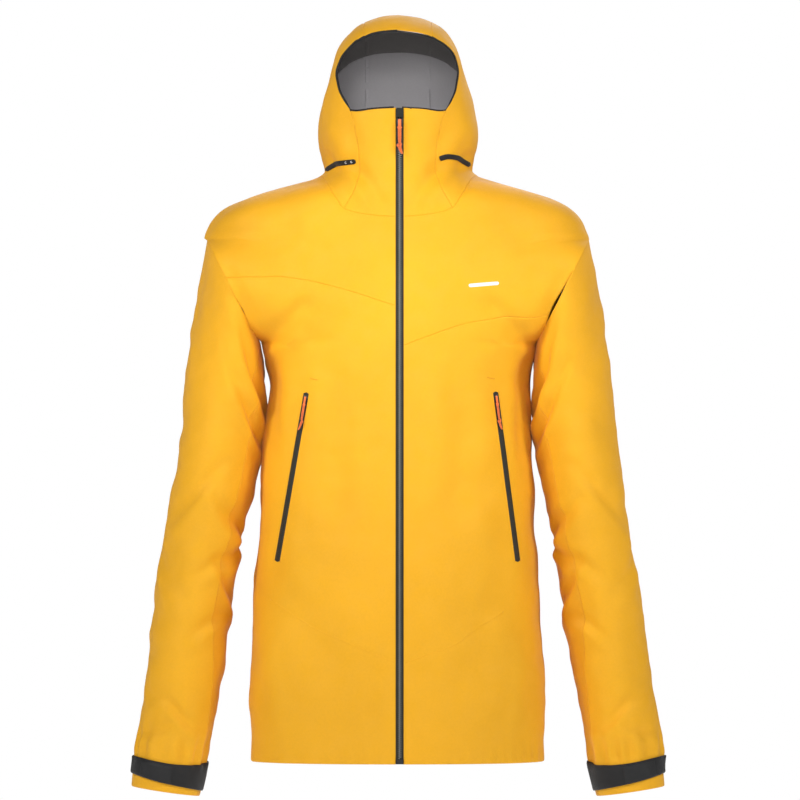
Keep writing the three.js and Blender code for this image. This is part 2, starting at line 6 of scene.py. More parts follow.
import bmesh
import bpy
import numpy as np
from bpy.props import FloatProperty, FloatVectorProperty, PointerProperty
from mathutils import Matrix, Vector, noise


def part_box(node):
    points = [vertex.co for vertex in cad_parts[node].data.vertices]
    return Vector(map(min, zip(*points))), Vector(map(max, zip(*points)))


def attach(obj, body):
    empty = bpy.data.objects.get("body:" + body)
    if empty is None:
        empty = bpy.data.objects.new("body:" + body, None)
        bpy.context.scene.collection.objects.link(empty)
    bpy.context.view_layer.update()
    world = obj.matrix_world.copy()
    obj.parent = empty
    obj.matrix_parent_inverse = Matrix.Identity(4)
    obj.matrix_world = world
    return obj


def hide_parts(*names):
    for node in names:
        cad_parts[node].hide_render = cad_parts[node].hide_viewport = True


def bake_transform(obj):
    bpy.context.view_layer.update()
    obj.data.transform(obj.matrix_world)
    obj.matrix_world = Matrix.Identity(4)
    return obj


bl_info = {
    "name": "Hardshell jacket",
    "version": (1, 0, 0),
    "blender": (4, 5, 0),
    "location": "3D View > Sidebar > Jacket",
    "description": "Builds a hooded hardshell jacket piece by piece",
    "category": "Object",
}

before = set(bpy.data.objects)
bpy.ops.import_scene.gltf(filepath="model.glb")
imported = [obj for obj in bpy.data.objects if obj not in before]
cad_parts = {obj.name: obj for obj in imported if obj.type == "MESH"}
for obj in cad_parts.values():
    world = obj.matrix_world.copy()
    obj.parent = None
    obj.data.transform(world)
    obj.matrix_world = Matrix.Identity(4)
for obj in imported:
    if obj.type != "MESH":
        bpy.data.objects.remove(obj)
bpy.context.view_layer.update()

MM = 0.001
NAPE_Y = 84.0          # the hanger loop's place behind the middle of the body
HEM_Z = -703.0
CHIN_Z = 78.0
CROWN_Z = 193.0
FRONT_HEM = 122.0
FRONT_CHIN = 108.0
SHOULDER_X = 229.0
SHOULDER_Z = -78.0
ARMPIT_X = 165.0
ARMPIT_Z = -201.0
ARMHOLE_DEPTH = 95.0
ZIP_X = 2.0
ZIP_SLOT = 4.7
BACK_YOKE_Z = -150.0
NECK_Z = -3.0
CENTRE_PANEL = 40.0
SIDES = (("left", 1), ("right", -1))
POCKETS = {1: ((116, -260), (143, -463)), -1: ((-109, -261), (-144, -463))}


def linear(red, green, blue):
    """A display colour of 0 to 255 as Blender's linear colour."""
    def one(value):
        value /= 255.0
        return value / 12.92 if value <= 0.04045 else ((value + 0.055) / 1.055) ** 2.4
    return (one(red), one(green), one(blue))


# ---- settings ---------------------------------------------------------------------------
def colour(name, description, default):
    return FloatVectorProperty(name=name, description=description, default=default,
                               subtype="COLOR", size=3, min=0.0, max=1.0)


def length(name, description, default):
    return FloatProperty(name=name, description=description, default=default,
                         unit="LENGTH", subtype="DISTANCE", min=0.0)


class JacketColours(bpy.types.PropertyGroup):
    """The colours of the jacket's cloths and trims."""
    shell: colour("Shell", "Outer cloth", linear(232, 168, 22))
    # Painted shade: the under-sleeve colour is a darker copy of the shell colour, standing in for
    # the shade on the inner sleeves; the pocket bartacks use it too.
    under: colour("Under sleeve", "Cloth of the under-sleeve panels", linear(224, 156, 20))
    lining: colour("Lining", "Grey inner cloth", linear(200, 197, 199))
    facing: colour("Facing", "Dark inner cloth of the hood", linear(132, 129, 127))
    dark: colour("Dark trim", "Tabs, strips and binding", linear(26, 26, 27))
    tape: colour("Zip tape", "Cloth of the zips", linear(36, 38, 33))
    teeth: colour("Zip teeth", "Moulded teeth", linear(126, 124, 120))
    cord: colour("Pull cord", "Cord pulls on the sliders", linear(232, 112, 52))


class JacketSizes(bpy.types.PropertyGroup):
    """Sizes of the cloth and of the mesh."""
    cloth: length("Cloth", "Thickness of the outer cloth", 0.0009)
    cell: length("Cell", "Mesh cell of the cloth panels", 0.0036)
    fold: FloatProperty(name="Folds", description="Depth of the soft folds", default=2.4,
                        min=0.0, max=3.0)
    tooth_pitch: length("Tooth pitch", "Distance between teeth on one tape", 0.0026)


def colours():
    return bpy.context.scene.jacket_colours


def sizes():
    return bpy.context.scene.jacket_sizes


# ---- curves through points ----------------------------------------------------------------
def through(points, x):
    """A smooth curve through (x, y) points that doesn't overshoot them."""
    xs, ys = np.array(points, float).T
    x = np.clip(np.asarray(x, float), xs[0], xs[-1])
    step = np.diff(xs)
    slope = np.diff(ys) / step
    tangent = np.zeros_like(ys)
    tangent[0], tangent[-1] = slope[0], slope[-1]
    same = slope[:-1] * slope[1:] > 0
    low, high = 2 * step[1:] + step[:-1], step[1:] + 2 * step[:-1]
    with np.errstate(divide="ignore", invalid="ignore"):
        mean = (low + high) / (low / slope[:-1] + high / slope[1:])
    tangent[1:-1] = np.where(same, mean, 0.0)
    i = np.clip(np.searchsorted(xs, x) - 1, 0, len(step) - 1)
    t = (x - xs[i]) / step[i]
    return ((2 * t**3 - 3 * t**2 + 1) * ys[i] + (t**3 - 2 * t**2 + t) * step[i] * tangent[i]
            + (3 * t**2 - 2 * t**3) * ys[i + 1] + (t**3 - t**2) * step[i] * tangent[i + 1])


def ramp(value, start, end):
    """0 before start, 1 after end, smooth between."""
    t = np.clip((np.asarray(value, float) - start) / (end - start), 0, 1)
    return t * t * (3 - 2 * t)


def bump(value, centre, width):
    return np.exp(-((np.asarray(value, float) - centre) / width) ** 2)


# ---- the body and hood form ------------------------------------------------------------------
def front_line(z):
    return FRONT_CHIN + (FRONT_HEM - FRONT_CHIN) * (CHIN_Z - z) / (CHIN_Z - HEM_Z)


# height, half-width, back depth, roundness
FORM = [
    (HEM_Z, 175, 118, 2.3), (-640, 175, 116, 2.3), (-571, 171, 113, 2.3), (-500, 166, 109, 2.3),
    (-420, 163, 107, 2.3), (-340, 160, 110, 2.3), (-268, 156, 116, 2.3),
    (ARMPIT_Z, ARMPIT_X, 120, 2.3), (-140, 200, 121, 2.3), (SHOULDER_Z, SHOULDER_X, 117, 2.3),
    (-64, 224, 115, 2.2), (-50, 215, 112, 2.15), (-40, 203, 109, 2.1), (-31, 185, 105, 2.05),
    (-21, 155, 100, 2.0), (-12, 122, 95, 1.95), (-5, 100, 91, 1.95), (4, 88, 90, 2.0),
    (20, 92, 98, 2.05), (46, 96, 109, 2.1), (CHIN_Z, 92, 117, 2.1), (113, 83, 116, 2.1),
    (142, 74, 106, 2.1), (164, 62, 90, 2.1), (179, 46, 68, 2.1), (188, 27, 42, 2.05),
    (CROWN_Z, 0, 0, 2.0),
]
HOOD_FRONT = [(CHIN_Z, FRONT_CHIN), (113, 106), (142, 103), (164, 94), (179, 72), (188, 42),
              (CROWN_Z, 0)]


def column_of(index):
    return [(row[0], row[index]) for row in FORM]


def armhole_x(z):
    share = np.clip((SHOULDER_Z - z) / (SHOULDER_Z - ARMPIT_Z), 0, 1)
    return SHOULDER_X + (ARMPIT_X - SHOULDER_X) * share


def armhole_depth(z):
    along = np.clip(2 * (SHOULDER_Z - z) / (SHOULDER_Z - ARMPIT_Z) - 1, -1, 1)
    return ARMHOLE_DEPTH * np.sqrt(1 - along**2)


def form(z):
    """Half-width, front depth, back depth and roundness at a height."""
    z = np.asarray(z, float)
    roundness = through(column_of(3), z)
    back = through(column_of(2), z)
    front = np.where(z <= CHIN_Z, front_line(z), through(HOOD_FRONT, z))
    half = through(column_of(1), z)
    front = np.maximum(front, 1e-3)
    left = 1 - np.minimum(armhole_depth(z) / front, 0.95) ** roundness
    wide = armhole_x(z) / left ** (1 / roundness)
    half = np.where((z < SHOULDER_Z) & (z > ARMPIT_Z), wide, half)
    return np.maximum(half, 1e-3), np.maximum(front, 1e-3), np.maximum(back, 1e-3), roundness


def on_form(theta, z):
    """A point on the form: theta is 0 at the front's middle and a quarter turn at the side."""
    half, front, back, roundness = form(z)
    s, c = np.sin(theta), np.cos(theta)
    x = half * np.sign(s) * np.abs(s) ** (2 / roundness)
    y = -np.sign(c) * np.abs(c) ** (2 / roundness) * np.where(c > 0, front, back)
    return np.stack(np.broadcast_arrays(x, y, z), -1)


def theta_at(x, z):
    """The front's angle where the form is x from the middle."""
    half, _, _, roundness = form(z)
    return np.arcsin(np.clip(x / half, 0, 1) ** (roundness / 2))


def theta_side(z):
    z = np.asarray(z, float)
    inside = (z < SHOULDER_Z) & (z > ARMPIT_Z)
    return np.where(inside, theta_at(armhole_x(z), z), math.pi / 2)


def unit(vectors):
    return vectors / np.maximum(np.linalg.norm(vectors, axis=-1, keepdims=True), 1e-9)


def grid_normals(points):
    """Normals of a grid of points, rows by columns, to the side that columns cross rows give."""
    across = np.gradient(points, axis=1)
    up = np.gradient(points, axis=0)
    return unit(np.cross(across, up))


def form_normal(theta, z):
    turn, rise = 2e-3, 0.6
    across = on_form(theta + turn, z) - on_form(theta - turn, z)
    up = on_form(theta, z + rise) - on_form(theta, z - rise)
    return unit(np.cross(across, up))


# ---- folds ----------------------------------------------------------------------------------
def wander(points, size, seed, stretch=(1, 1, 1)):
    """Smooth noise of about -1 to 1 over points, with features of one size."""
    flat = points.reshape(-1, 3) / size * np.array(stretch)
    shift = Vector((seed * 7.13, seed * 3.71, seed * 5.39))
    values = [noise.noise(Vector(p) + shift, noise_basis="PERLIN_ORIGINAL") for p in flat]
    return np.array(values).reshape(points.shape[:-1])


def crease(points, start, end, width, depth, fade=0.25):
    """A soft valley along a line drawn in the front view; depth under zero makes a ridge."""
    x, z = points[..., 0], points[..., 2]
    (x0, z0), (x1, z1) = start, end
    dx, dz = x1 - x0, z1 - z0
    size = math.hypot(dx, dz)
    along = ((x - x0) * dx + (z - z0) * dz) / size**2
    off = ((x - x0) * dz - (z - z0) * dx) / size
    inside = ramp(along, -fade, fade) * (1 - ramp(along, 1 - fade, 1 + fade))
    return -depth * inside * np.exp(-(off / width) ** 2)


# start, end, width and depth of each soft valley (over zero) or ridge (under zero), on one side
FRONT_FOLDS = [
    ((50, 12), (12, -46), 9, 1.6), ((62, 4), (34, -40), 8, -1.0), ((95, -8), (70, -26), 5, 1.2),
    ((86, -2), (74, -16), 3.5, 0.8), ((150, -196), (104, -150), 12, 2.4),
    ((158, -214), (112, -196), 9, -1.6), ((152, -222), (146, -330), 10, 2.2),
    ((134, -230), (126, -380), 14, -1.4), ((80, -205), (66, -420), 22, 1.4),
    ((52, -230), (48, -520), 20, -1.0), ((120, -500), (60, -640), 26, 1.2),
    ((150, -560), (140, -690), 12, -1.4), ((160, -90), (120, -60), 14, 1.2),
    ((205, -110), (178, -168), 10, 1.6), ((30, -600), (36, -690), 14, 0.9),
]
BACK_FOLDS = [
    ((150, -190), (100, -150), 13, 2.6), ((156, -220), (110, -260), 12, -1.8),
    ((140, -300), (60, -420), 20, 1.6), ((60, -60), (120, -110), 16, 1.2),
    ((20, -180), (14, -420), 26, 1.4), ((100, -420), (130, -640), 20, -1.6),
    ((50, -480), (90, -690), 20, 1.4), ((90, -8), (60, -30), 8, 1.6),
]
HOOD_FOLDS = [
    ((60, 20), (84, 60), 9, -1.2), ((70, 2), (88, 26), 6, 1.4), ((48, 30), (62, 70), 8, 0.8),
    ((40, 176), (66, 140), 8, -0.8),
]


def gathers(x, z, low, high, wave):
    """Small upright tucks where the cloth is drawn in towards an edge."""
    swing = np.sin(x / wave * 2 * math.pi + 1.7 * np.sin(x / (wave * 2.7)))
    return swing * (1 - ramp(z, low, high))


def body_folds(points):
    """How far the cloth of the body and hood stands out from the form."""
    x, y, z = points[..., 0], points[..., 1], points[..., 2]
    amount = sizes().fold
    low = 1 - ramp(z, -60, 40)
    lift = 2.2 * low * wander(points, 130, 1, (1, 1, 0.5))
    lift += 1.3 * low * wander(points, 46, 2, (0.7, 0.8, 1.0))
    lift += 0.45 * low * wander(points, 20, 3, (0.6, 0.8, 1.0))
    lift += 2.4 * low * np.sqrt(wander(points, 95, 8, (1, 1, 0.8)) ** 2 + 0.004)
    lift += (1 - low) * (1.2 * wander(points, 60, 4) + 0.4 * wander(points, 24, 6))
    mirrored = np.stack([np.abs(x), y, z], -1)
    front = ramp(-y, -20, 30)
    for start, end, width, depth in FRONT_FOLDS:
        lift += front * crease(mirrored, start, end, width, depth)
    for start, end, width, depth in BACK_FOLDS:
        lift += (1 - front) * crease(mirrored, start, end, width, depth)
    for start, end, width, depth in HOOD_FOLDS:
        lift += crease(mirrored, start, end, width, depth)
    around = np.where(y < 0, x, 420 - x) + y * 0.6
    lift += 0.55 * gathers(around, z, HEM_Z + 4, HEM_Z + 34, 17)
    return amount * lift * zip_hold(x, y, z) * (0.4 + 0.6 * ramp(z, HEM_Z + 12, HEM_Z + 80))


def zip_hold(x, y, z):
    """The zips keep the cloth beside them straight."""
    near = bump(x, ZIP_X, 16) * (y < 0) * (1 - ramp(z, CHIN_Z, CHIN_Z + 30))
    for (top_x, top_z), (foot_x, foot_z) in POCKETS.values():
        line = top_x + (foot_x - top_x) * (top_z - z) / (top_z - foot_z)
        along = ramp(z, foot_z - 40, foot_z - 8) * (1 - ramp(z, top_z + 8, top_z + 40))
        near = np.maximum(near, bump(x, line, 15) * along * (y < 0))
    return 1 - near


def cloth_at(theta, z, lift):
    points = on_form(theta, z)
    return points + form_normal(theta, z) * (body_folds(points) + lift)[..., None]


# ---- meshes ------------------------------------------------------------------------------
LIP = ((0.0, -1.7), (0.0, -0.55), (0.5, -0.15), (1.5, 0.0))
HEM_LIP = ((0.0, -2.4), (0.0, -0.9), (0.6, -0.25), (2.0, 0.0))
SOFT_LIP = ((0.0, -0.5), (0.4, -0.3), (1.2, -0.1), (2.4, 0.0))


def spread(size, first=None, last=None):
    """Shares from 0 to 1 along a panel and the height of its edge there."""
    inner = max(int(size / step_mm()), 3)
    shares = [(i / inner, 0.0) for i in range(inner + 1)]
    if first:
        shares = [(d / size, h) for d, h in first] + [s for s in shares if s[0] * size > 3.0]
    if last:
        tail = [(1 - d / size, h) for d, h in reversed(last)]
        shares = [s for s in shares if (1 - s[0]) * size > 3.0] + tail
    shares = np.array(shares)
    return shares[:, 0], shares[:, 1]


def panel_lifts(u_lift, v_lift):
    """Heights over a panel whose four edges dip."""
    return np.minimum(u_lift[None, :], v_lift[:, None])


def placed(points):
    """Millimetres about the body's middle as metres in the row's frame."""
    moved = np.array(points, float) * MM
    moved[..., 1] -= NAPE_Y * MM
    return moved


def add_grid(bm, points, flip=False):
    """A grid of points, rows by columns, as quads with a UV map in metres."""
    rows, cols = points.shape[:2]
    made = bmesh.ops.create_grid(bm, x_segments=cols - 1, y_segments=rows - 1, size=1)["verts"]
    where = placed(points)
    lengths = np.linalg.norm(np.diff(where, axis=1), axis=-1).mean(0)
    heights = np.linalg.norm(np.diff(where, axis=0), axis=-1).mean(1)
    us = np.concatenate([[0], np.cumsum(lengths)])
    vs = np.concatenate([[0], np.cumsum(heights)])
    uv = bm.loops.layers.uv.verify()
    index = {}
    for vert in made:
        col = round((vert.co.x + 1) / 2 * (cols - 1))
        row = round((vert.co.y + 1) / 2 * (rows - 1))
        index[vert] = (row, col)
    faces = {face for vert in made for face in vert.link_faces}
    for face in faces:
        for loop in face.loops:
            row, col = index[loop.vert]
            loop[uv].uv = (us[col], vs[row])
    for vert, (row, col) in index.items():
        vert.co = where[row, col]
    if flip:
        bmesh.ops.reverse_faces(bm, faces=list(faces))


def finish_mesh(name, bm, mat, merge=0.00002):
    if merge:
        bmesh.ops.remove_doubles(bm, verts=bm.verts, dist=merge)
    mesh = bpy.data.meshes.new(name)
    bm.to_mesh(mesh)
    bm.free()
    mesh.materials.append(mat)
    mesh.shade_smooth()
    obj = bpy.data.objects.new(name, mesh)
    bpy.context.scene.collection.objects.link(obj)
    return obj


def thicken(obj, depth):
    """Gives a sheet its thickness, on the side away from its faces."""
    wall = obj.modifiers.new("Wall", "SOLIDIFY")
    wall.thickness = depth
    wall.offset = -1.0
    wall.use_even_offset = False


def cloth_piece(name, grids, key, depth=None, flips=()):
    """One cloth piece from grids that share edges. Outer cloth has a grey back."""
    bm = bmesh.new()
    for i, points in enumerate(grids):
        add_grid(bm, points, flip=i in flips)
    obj = finish_mesh(name, bm, material(key))
    thicken(obj, depth or sizes().cloth)
    if key in ("shell", "under"):
        obj.data.materials.append(material("lining"))
        obj.modifiers["Wall"].material_offset = 1
    return obj


# ---- materials ----------------------------------------------------------------------------
class Nodes:
    """Builds a material's node tree with few words."""

    def __init__(self, name):
        self.material = bpy.data.materials.new(name)
        self.material.use_nodes = True
        self.tree = self.material.node_tree
        self.shader = self.tree.nodes["Principled BSDF"]
        self.coords = self.tree.nodes.new("ShaderNodeTexCoord")

    def add(self, kind, inputs=None, **settings):
        node = self.tree.nodes.new(kind)
        for key, value in settings.items():
            setattr(node, key, value)
        for key, value in (inputs or {}).items():
            self.feed(node, key, value)
        return node

    def feed(self, node, key, value):
        if isinstance(value, bpy.types.NodeSocket):
            self.tree.links.new(value, node.inputs[key])
        else:
            node.inputs[key].default_value = value

    def noise(self, scale, detail=3.0):
        return self.add("ShaderNodeTexNoise",
                        {"Vector": self.coords.outputs["Object"], "Scale": scale,
                         "Detail": detail}).outputs["Fac"]

    def wave(self, scale, direction, source="UV"):
        return self.add("ShaderNodeTexWave",
                        {"Vector": self.coords.outputs[source], "Scale": scale},
                        bands_direction=direction).outputs["Fac"]

    def math(self, operation, a, b):
        return self.add("ShaderNodeMath", {0: a, 1: b}, operation=operation).outputs[0]

    def ramp(self, value, low, high, out_low, out_high):
        return self.add("ShaderNodeMapRange",
                        {"Value": value, "From Min": low, "From Max": high, "To Min": out_low,
                         "To Max": out_high}).outputs[0]

    def mix(self, factor, a, b):
        node = self.add("ShaderNodeMix", data_type="RGBA")
        self.feed(node, 0, factor)
        self.feed(node, 6, a)
        self.feed(node, 7, b)
        return node.outputs[2]

    def bump(self, height, strength, distance, below=None):
        inputs = {"Height": height, "Strength": strength, "Distance": distance}
        if below is not None:
            inputs["Normal"] = below
        return self.add("ShaderNodeBump", inputs).outputs[0]

    def set(self, **values):
        names = {"colour": "Base Color", "roughness": "Roughness", "normal": "Normal",
                 "sheen": "Sheen Weight", "sheen_roughness": "Sheen Roughness",
                 "specular": "Specular IOR Level"}
        for key, value in values.items():
            self.feed(self.shader, names[key], value)
        return self.material


def shade(base, factor):
    return tuple(min(c * factor, 1.0) for c in base) + (1.0,)


def woven(name, base, thread, roughness=(0.62, 0.78), sheen=0.06, depth=0.00008, patch=0.06):
    """A woven cloth: two crossed sets of threads, soft patches of colour and fine fuzz."""
    n = Nodes(name)
    rate = 1.0 / thread / 2
    warp = n.wave(rate, "X")
    weft = n.wave(rate, "Y")
    weave = n.math("MULTIPLY", warp, weft)
    cloud = n.noise(9.0, 3.0)
    fine = n.noise(420.0, 2.0)
    tint = n.math("ADD", n.math("MULTIPLY", cloud, 0.7), n.math("MULTIPLY", fine, 0.3))
    factor = n.ramp(tint, 0.3, 0.7, 0.0, 1.0)
    colour_out = n.mix(factor, shade(base, 1 - patch), shade(base, 1 + patch))
    rough = n.ramp(n.noise(60.0, 4.0), 0.3, 0.7, roughness[0], roughness[1])
    crumple = n.bump(n.noise(26.0, 4.0), 0.25, 0.0012)
    normal = n.bump(weave, 0.5, depth, crumple)
    return n.set(colour=colour_out, roughness=rough, normal=normal, sheen=sheen,
                 sheen_roughness=0.4, specular=0.35)


def moulded(name, base, roughness=(0.35, 0.5), specular=0.5):
    """Moulded plastic or painted metal with faint grain."""
    n = Nodes(name)
    cloud = n.noise(70.0, 4.0)
    grain = n.noise(900.0, 2.0)
    colour_out = n.mix(n.ramp(cloud, 0.3, 0.7, 0.0, 1.0), shade(base, 0.88), shade(base, 1.12))
    rough = n.ramp(grain, 0.3, 0.7, roughness[0], roughness[1])
    normal = n.bump(grain, 0.15, 0.0001)
    return n.set(colour=colour_out, roughness=rough, normal=normal, specular=specular)


def braided(name, base):
    """Braided cord: crossed diagonal strands."""
    n = Nodes(name)
    one = n.wave(620.0, "DIAGONAL", "Object")
    cloud = n.noise(300.0, 3.0)
    strands = n.math("MULTIPLY", one, cloud)
    colour_out = n.mix(n.ramp(strands, 0.0, 0.7, 0.0, 1.0), shade(base, 0.7), shade(base, 1.1))
    normal = n.bump(strands, 0.6, 0.0004)
    return n.set(colour=colour_out, roughness=n.ramp(cloud, 0.3, 0.7, 0.55, 0.75), normal=normal,
                 sheen=0.3, specular=0.3)


MATERIALS = {}


def material(key):
    """The jacket's materials, each made once."""
    if key not in MATERIALS:
        c = colours()
        makers = {
            "shell": lambda: woven("shell_fabric", c.shell, 0.0006),
            # The under-sleeve cloth is the shell cloth in a darker colour: painted shade on the
            # inner sleeves.
            "under": lambda: woven("under_fabric", c.under, 0.0006),
            "lining": lambda: woven("grey_lining", c.lining, 0.0005, (0.75, 0.9), 0.2),
            "facing": lambda: woven("dark_facing", c.facing, 0.0005, (0.7, 0.85), 0.1),
            "dark": lambda: woven("dark_trim", c.dark, 0.0008, (0.6, 0.75), 0.1, 0.0002, 0.12),
            "tape": lambda: woven("zip_tape_cloth", c.tape, 0.0007, (0.7, 0.85), 0.1, 0.0002, 0.1),
            "teeth": lambda: moulded("zip_tooth_resin", c.teeth),
            "slider": lambda: moulded("slider_metal", c.dark, (0.28, 0.42), 0.6),
            "plastic": lambda: moulded("dark_plastic", c.dark, (0.4, 0.55)),
            "cord": lambda: braided("orange_cord", c.cord),
            "cord_end": lambda: moulded("orange_end", c.cord, (0.4, 0.55)),
            "tab_face": lambda: woven("tab_face_cloth", shade(c.dark, 1.2)[:3], 0.0008,
                                      (0.5, 0.65), 0.1, 0.0002, 0.1),
            "eyelet": lambda: moulded("pale_eyelet", (0.6, 0.6, 0.6), (0.3, 0.45)),
            "pale": lambda: moulded("pale_bond", (0.86, 0.86, 0.84), (0.4, 0.55)),
            "loop": lambda: woven("loop_pile", c.dark, 0.0016, (0.85, 0.95), 0.4, 0.0006, 0.3),
            "pocket_tape": lambda: woven("pocket_zip_tape", c.tape, 0.0009, (0.45, 0.6), 0.05,
                                         0.0002, 0.12),
            "drawcord": lambda: braided("dark_cord", c.dark),
        }
        MATERIALS[key] = makers[key]()
    return MATERIALS[key]


# ---- seams, in the front view ------------------------------------------------------------------
NECK_SEAM = [(0, -52), (30, -50), (64, -42), (78, -22), (92, NECK_Z), (400, NECK_Z)]
YOKE_SEAM = {
    1: [(0, -208), (36, -194), (61, -185), (86, -178), (112, -174), (142, -171), (400, -170)],
    -1: [(0, -159), (69, -137), (112, -127), (146, -123), (165, -124), (400, -126)],
}
FACE_SIDE = [(75, 57), (86, 64), (104, 72), (122, 75), (139, 70), (156, 53), (162.5, CENTRE_PANEL)]
FACE_TOP = [(0, 171), (30, 167), (CENTRE_PANEL, 162.5)]
CHIN_EDGE = [(0, 78), (30, 76.5), (50, 74), (57, 75)]


def zip_edge(side):
    """How far a front's edge is from the middle plane, on its own side."""
    return ZIP_SLOT + side * ZIP_X


def solve_height(seam, theta_of, low, high, shape):
    """The height on each column where it meets a seam given as height against x."""
    bottom, top = np.full(shape, float(low)), np.full(shape, float(high))
    for _ in range(30):
        middle = (bottom + top) / 2
        x = np.abs(on_form(theta_of(middle), middle)[..., 0])
        under = middle < through(seam, x)
        bottom, top = np.where(under, middle, bottom), np.where(under, top, middle)
    return (bottom + top) / 2


def front_theta(share, edge):
    def theta_of(z):
        start = theta_at(edge, z)
        return start + (theta_side(z) - start) * share
    return theta_of


def patch(side, theta_of, low, high, vs, lifts):
    """A grid between two heights, with its rows at the shares vs of the way up."""
    z = low[None, :] + (high - low)[None, :] * vs[:, None]
    theta = side * theta_of(z)
    return cloth_at(theta, z, lifts)


def step_mm():
    cell = sizes().cell / MM
    return cell * 1.0


def front_grid(side, low, high, size, low_lip, high_lip, lift=0.0):
    us, u_lift = spread(190, LIP, LIP)
    vs, v_lift = spread(size, low_lip, high_lip)
    theta_of = front_theta(us, zip_edge(side))
    ends = []
    for seam in (low, high):
        if isinstance(seam, (int, float)):
            ends.append(np.full(us.shape, float(seam)))
        else:
            ends.append(solve_height(seam, theta_of, HEM_Z, NECK_Z, us.shape))
    lifts = panel_lifts(u_lift, v_lift) + lift
    return patch(side, theta_of, *ends, vs, lifts)


def back_grid(low, high, size, low_lip, high_lip, side_lip=LIP, lift=0.0):
    us, u_lift = spread(400, side_lip, side_lip)
    vs, v_lift = spread(size, low_lip, high_lip)

    def theta_of(z):
        return math.pi - (1 - 2 * us) * theta_side(z)
    low, high = np.full(us.shape, float(low)), np.full(us.shape, float(high))
    return patch(1, theta_of, low, high, vs, panel_lifts(u_lift, v_lift) + lift)


def stands_for(obj, body, nodes):
    if nodes:
        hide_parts(*nodes)
    if body:
        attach(obj, body)
    return obj


def shell_piece(name, grids, nodes, flips=(), body="shell"):
    obj = cloth_piece(name, grids, "shell", flips=flips)
    return stands_for(obj, body, nodes)


def build_body():
    for name, side in SIDES:
        seam = YOKE_SEAM[side]
        flips = () if side > 0 else (0,)
        shell_piece(f"front_panel_cloth_{name}",
                    [front_grid(side, HEM_Z, seam, 520, HEM_LIP, LIP)],
                    [f"front_panel_{name}"], flips)
        shell_piece(f"front_yoke_cloth_{name}", [front_grid(side, seam, NECK_SEAM, 140, LIP, LIP)],
                    [f"front_yoke_{name}"], flips)
    shell_piece("back_panel_cloth", [back_grid(HEM_Z, BACK_YOKE_Z, 553, HEM_LIP, LIP)],
                ["back_panel"])
    shell_piece("back_yoke_cloth", [back_grid(BACK_YOKE_Z, NECK_Z, 147, LIP, LIP)],
                ["back_yoke"])
    build_seam_lines()


# ---- strips that lie on the cloth ------------------------------------------------------------
def front_surface(x, z, lift=0.0):
    """Points on the cloth of the front, from where they are in the front view."""
    x, z = np.asarray(x, float), np.asarray(z, float)
    theta = np.where(x < 0, -1, 1) * theta_at(np.abs(x), z)
    return cloth_at(theta, z, np.broadcast_to(lift, x.shape))


def back_surface(x, z, lift=0.0):
    x, z = np.asarray(x, float), np.asarray(z, float)
    theta = np.where(x < 0, -1, 1) * (math.pi - theta_at(np.abs(x), z))
    return cloth_at(theta, z, np.broadcast_to(lift, x.shape))


def walk(line, step):
    """Evenly spaced points along a line through (x, z) points, and the way across it."""
    line = np.array(line, float)
    run = np.concatenate([[0], np.cumsum(np.linalg.norm(np.diff(line, axis=0), axis=1))])
    count = max(int(run[-1] / step), 4)
    along = np.linspace(0, run[-1], count + 1)
    if len(line) > 2:
        points = np.stack([through(list(zip(run, line[:, i])), along) for i in (0, 1)], -1)
    else:
        points = np.stack([np.interp(along, run, line[:, i]) for i in (0, 1)], -1)
    tangent = np.gradient(points, axis=0)
    tangent /= np.linalg.norm(tangent, axis=1, keepdims=True)
    return points, np.stack([-tangent[:, 1], tangent[:, 0]], -1), along


STRIP_WALL = 0.0004
# across a strip of half-width 1, and the height in mm
FLAT_TOP = [(-1, -0.8), (-1, 0.5), (-0.9, 0.8), (0, 0.85), (0.9, 0.8), (1, 0.5), (1, -0.8)]
SOFT_RIDGE = [(-1, -0.25), (-0.55, 0.1), (0, 0.3), (0.55, 0.1), (1, -0.25)]


def strip_grid(line, width, profile, surface=front_surface, round_ends=0.0, step=2.0, raise_by=0.0):
    points, across, along = walk(line, step)
    shares = np.array([p[0] for p in profile])
    heights = np.array([p[1] for p in profile]) + raise_by
    half = np.full(len(points), width / 2)
    if round_ends:
        near = np.minimum(along, along[-1] - along)
        share = np.clip(near / round_ends, 0.02, 1)
        half = half * np.sqrt(1 - (1 - share) ** 2)
    x = points[:, 0, None] + across[:, 0, None] * half[:, None] * shares[None, :]
    z = points[:, 1, None] + across[:, 1, None] * half[:, None] * shares[None, :]
    return surface(x, z, np.broadcast_to(heights[None, :], x.shape))


def outward(obj, middle_x=0):
    """Turns a mesh's faces so that they point away from an upright line."""
    mesh = obj.data
    total = 0.0
    for face in mesh.polygons:
        away = Vector((face.center.x - middle_x * MM, face.center.y + NAPE_Y * MM, 0))
        total += face.normal.dot(away) * face.area
    if total < 0:
        mesh.flip_normals()
    return obj


def strip_piece(name, lines, width, profile, mat, body, slot, nodes=(), **options):
    bm = bmesh.new()
    for line in lines:
        add_grid(bm, strip_grid(line, width, profile, **options))
    obj = outward(finish_mesh(name, bm, mat))
    thicken(obj, STRIP_WALL)
    return stands_for(obj, body, nodes)


LOW_SEAMS = [
    [(-150, -508), (-101, -541), (-66, -556), (-38, -568), (-6, -581)],
    [(128, -522), (91, -544), (67, -561), (29, -575), (9, -582)],
]


def build_seam_lines():
    """Faint ridges where the pocket bags and the hem facing are bonded inside."""
    strip_piece("bonded_seam_lines", LOW_SEAMS, 1.8, SOFT_RIDGE, material("shell"), "shell",
                "shell_fabric", step=3.0)
    for name, side in SIDES:
        top = POCKETS[side][0]
        tack = [(top[0] - side * 7 - 3, top[1] + 17), (top[0] - side * 7 + 6, top[1] + 15)]
        strip_piece(f"pocket_bartack_{name}", [tack], 1.8, SOFT_RIDGE, material("under"),
                    "shell", "shell_fabric", step=0.8, raise_by=0.15)


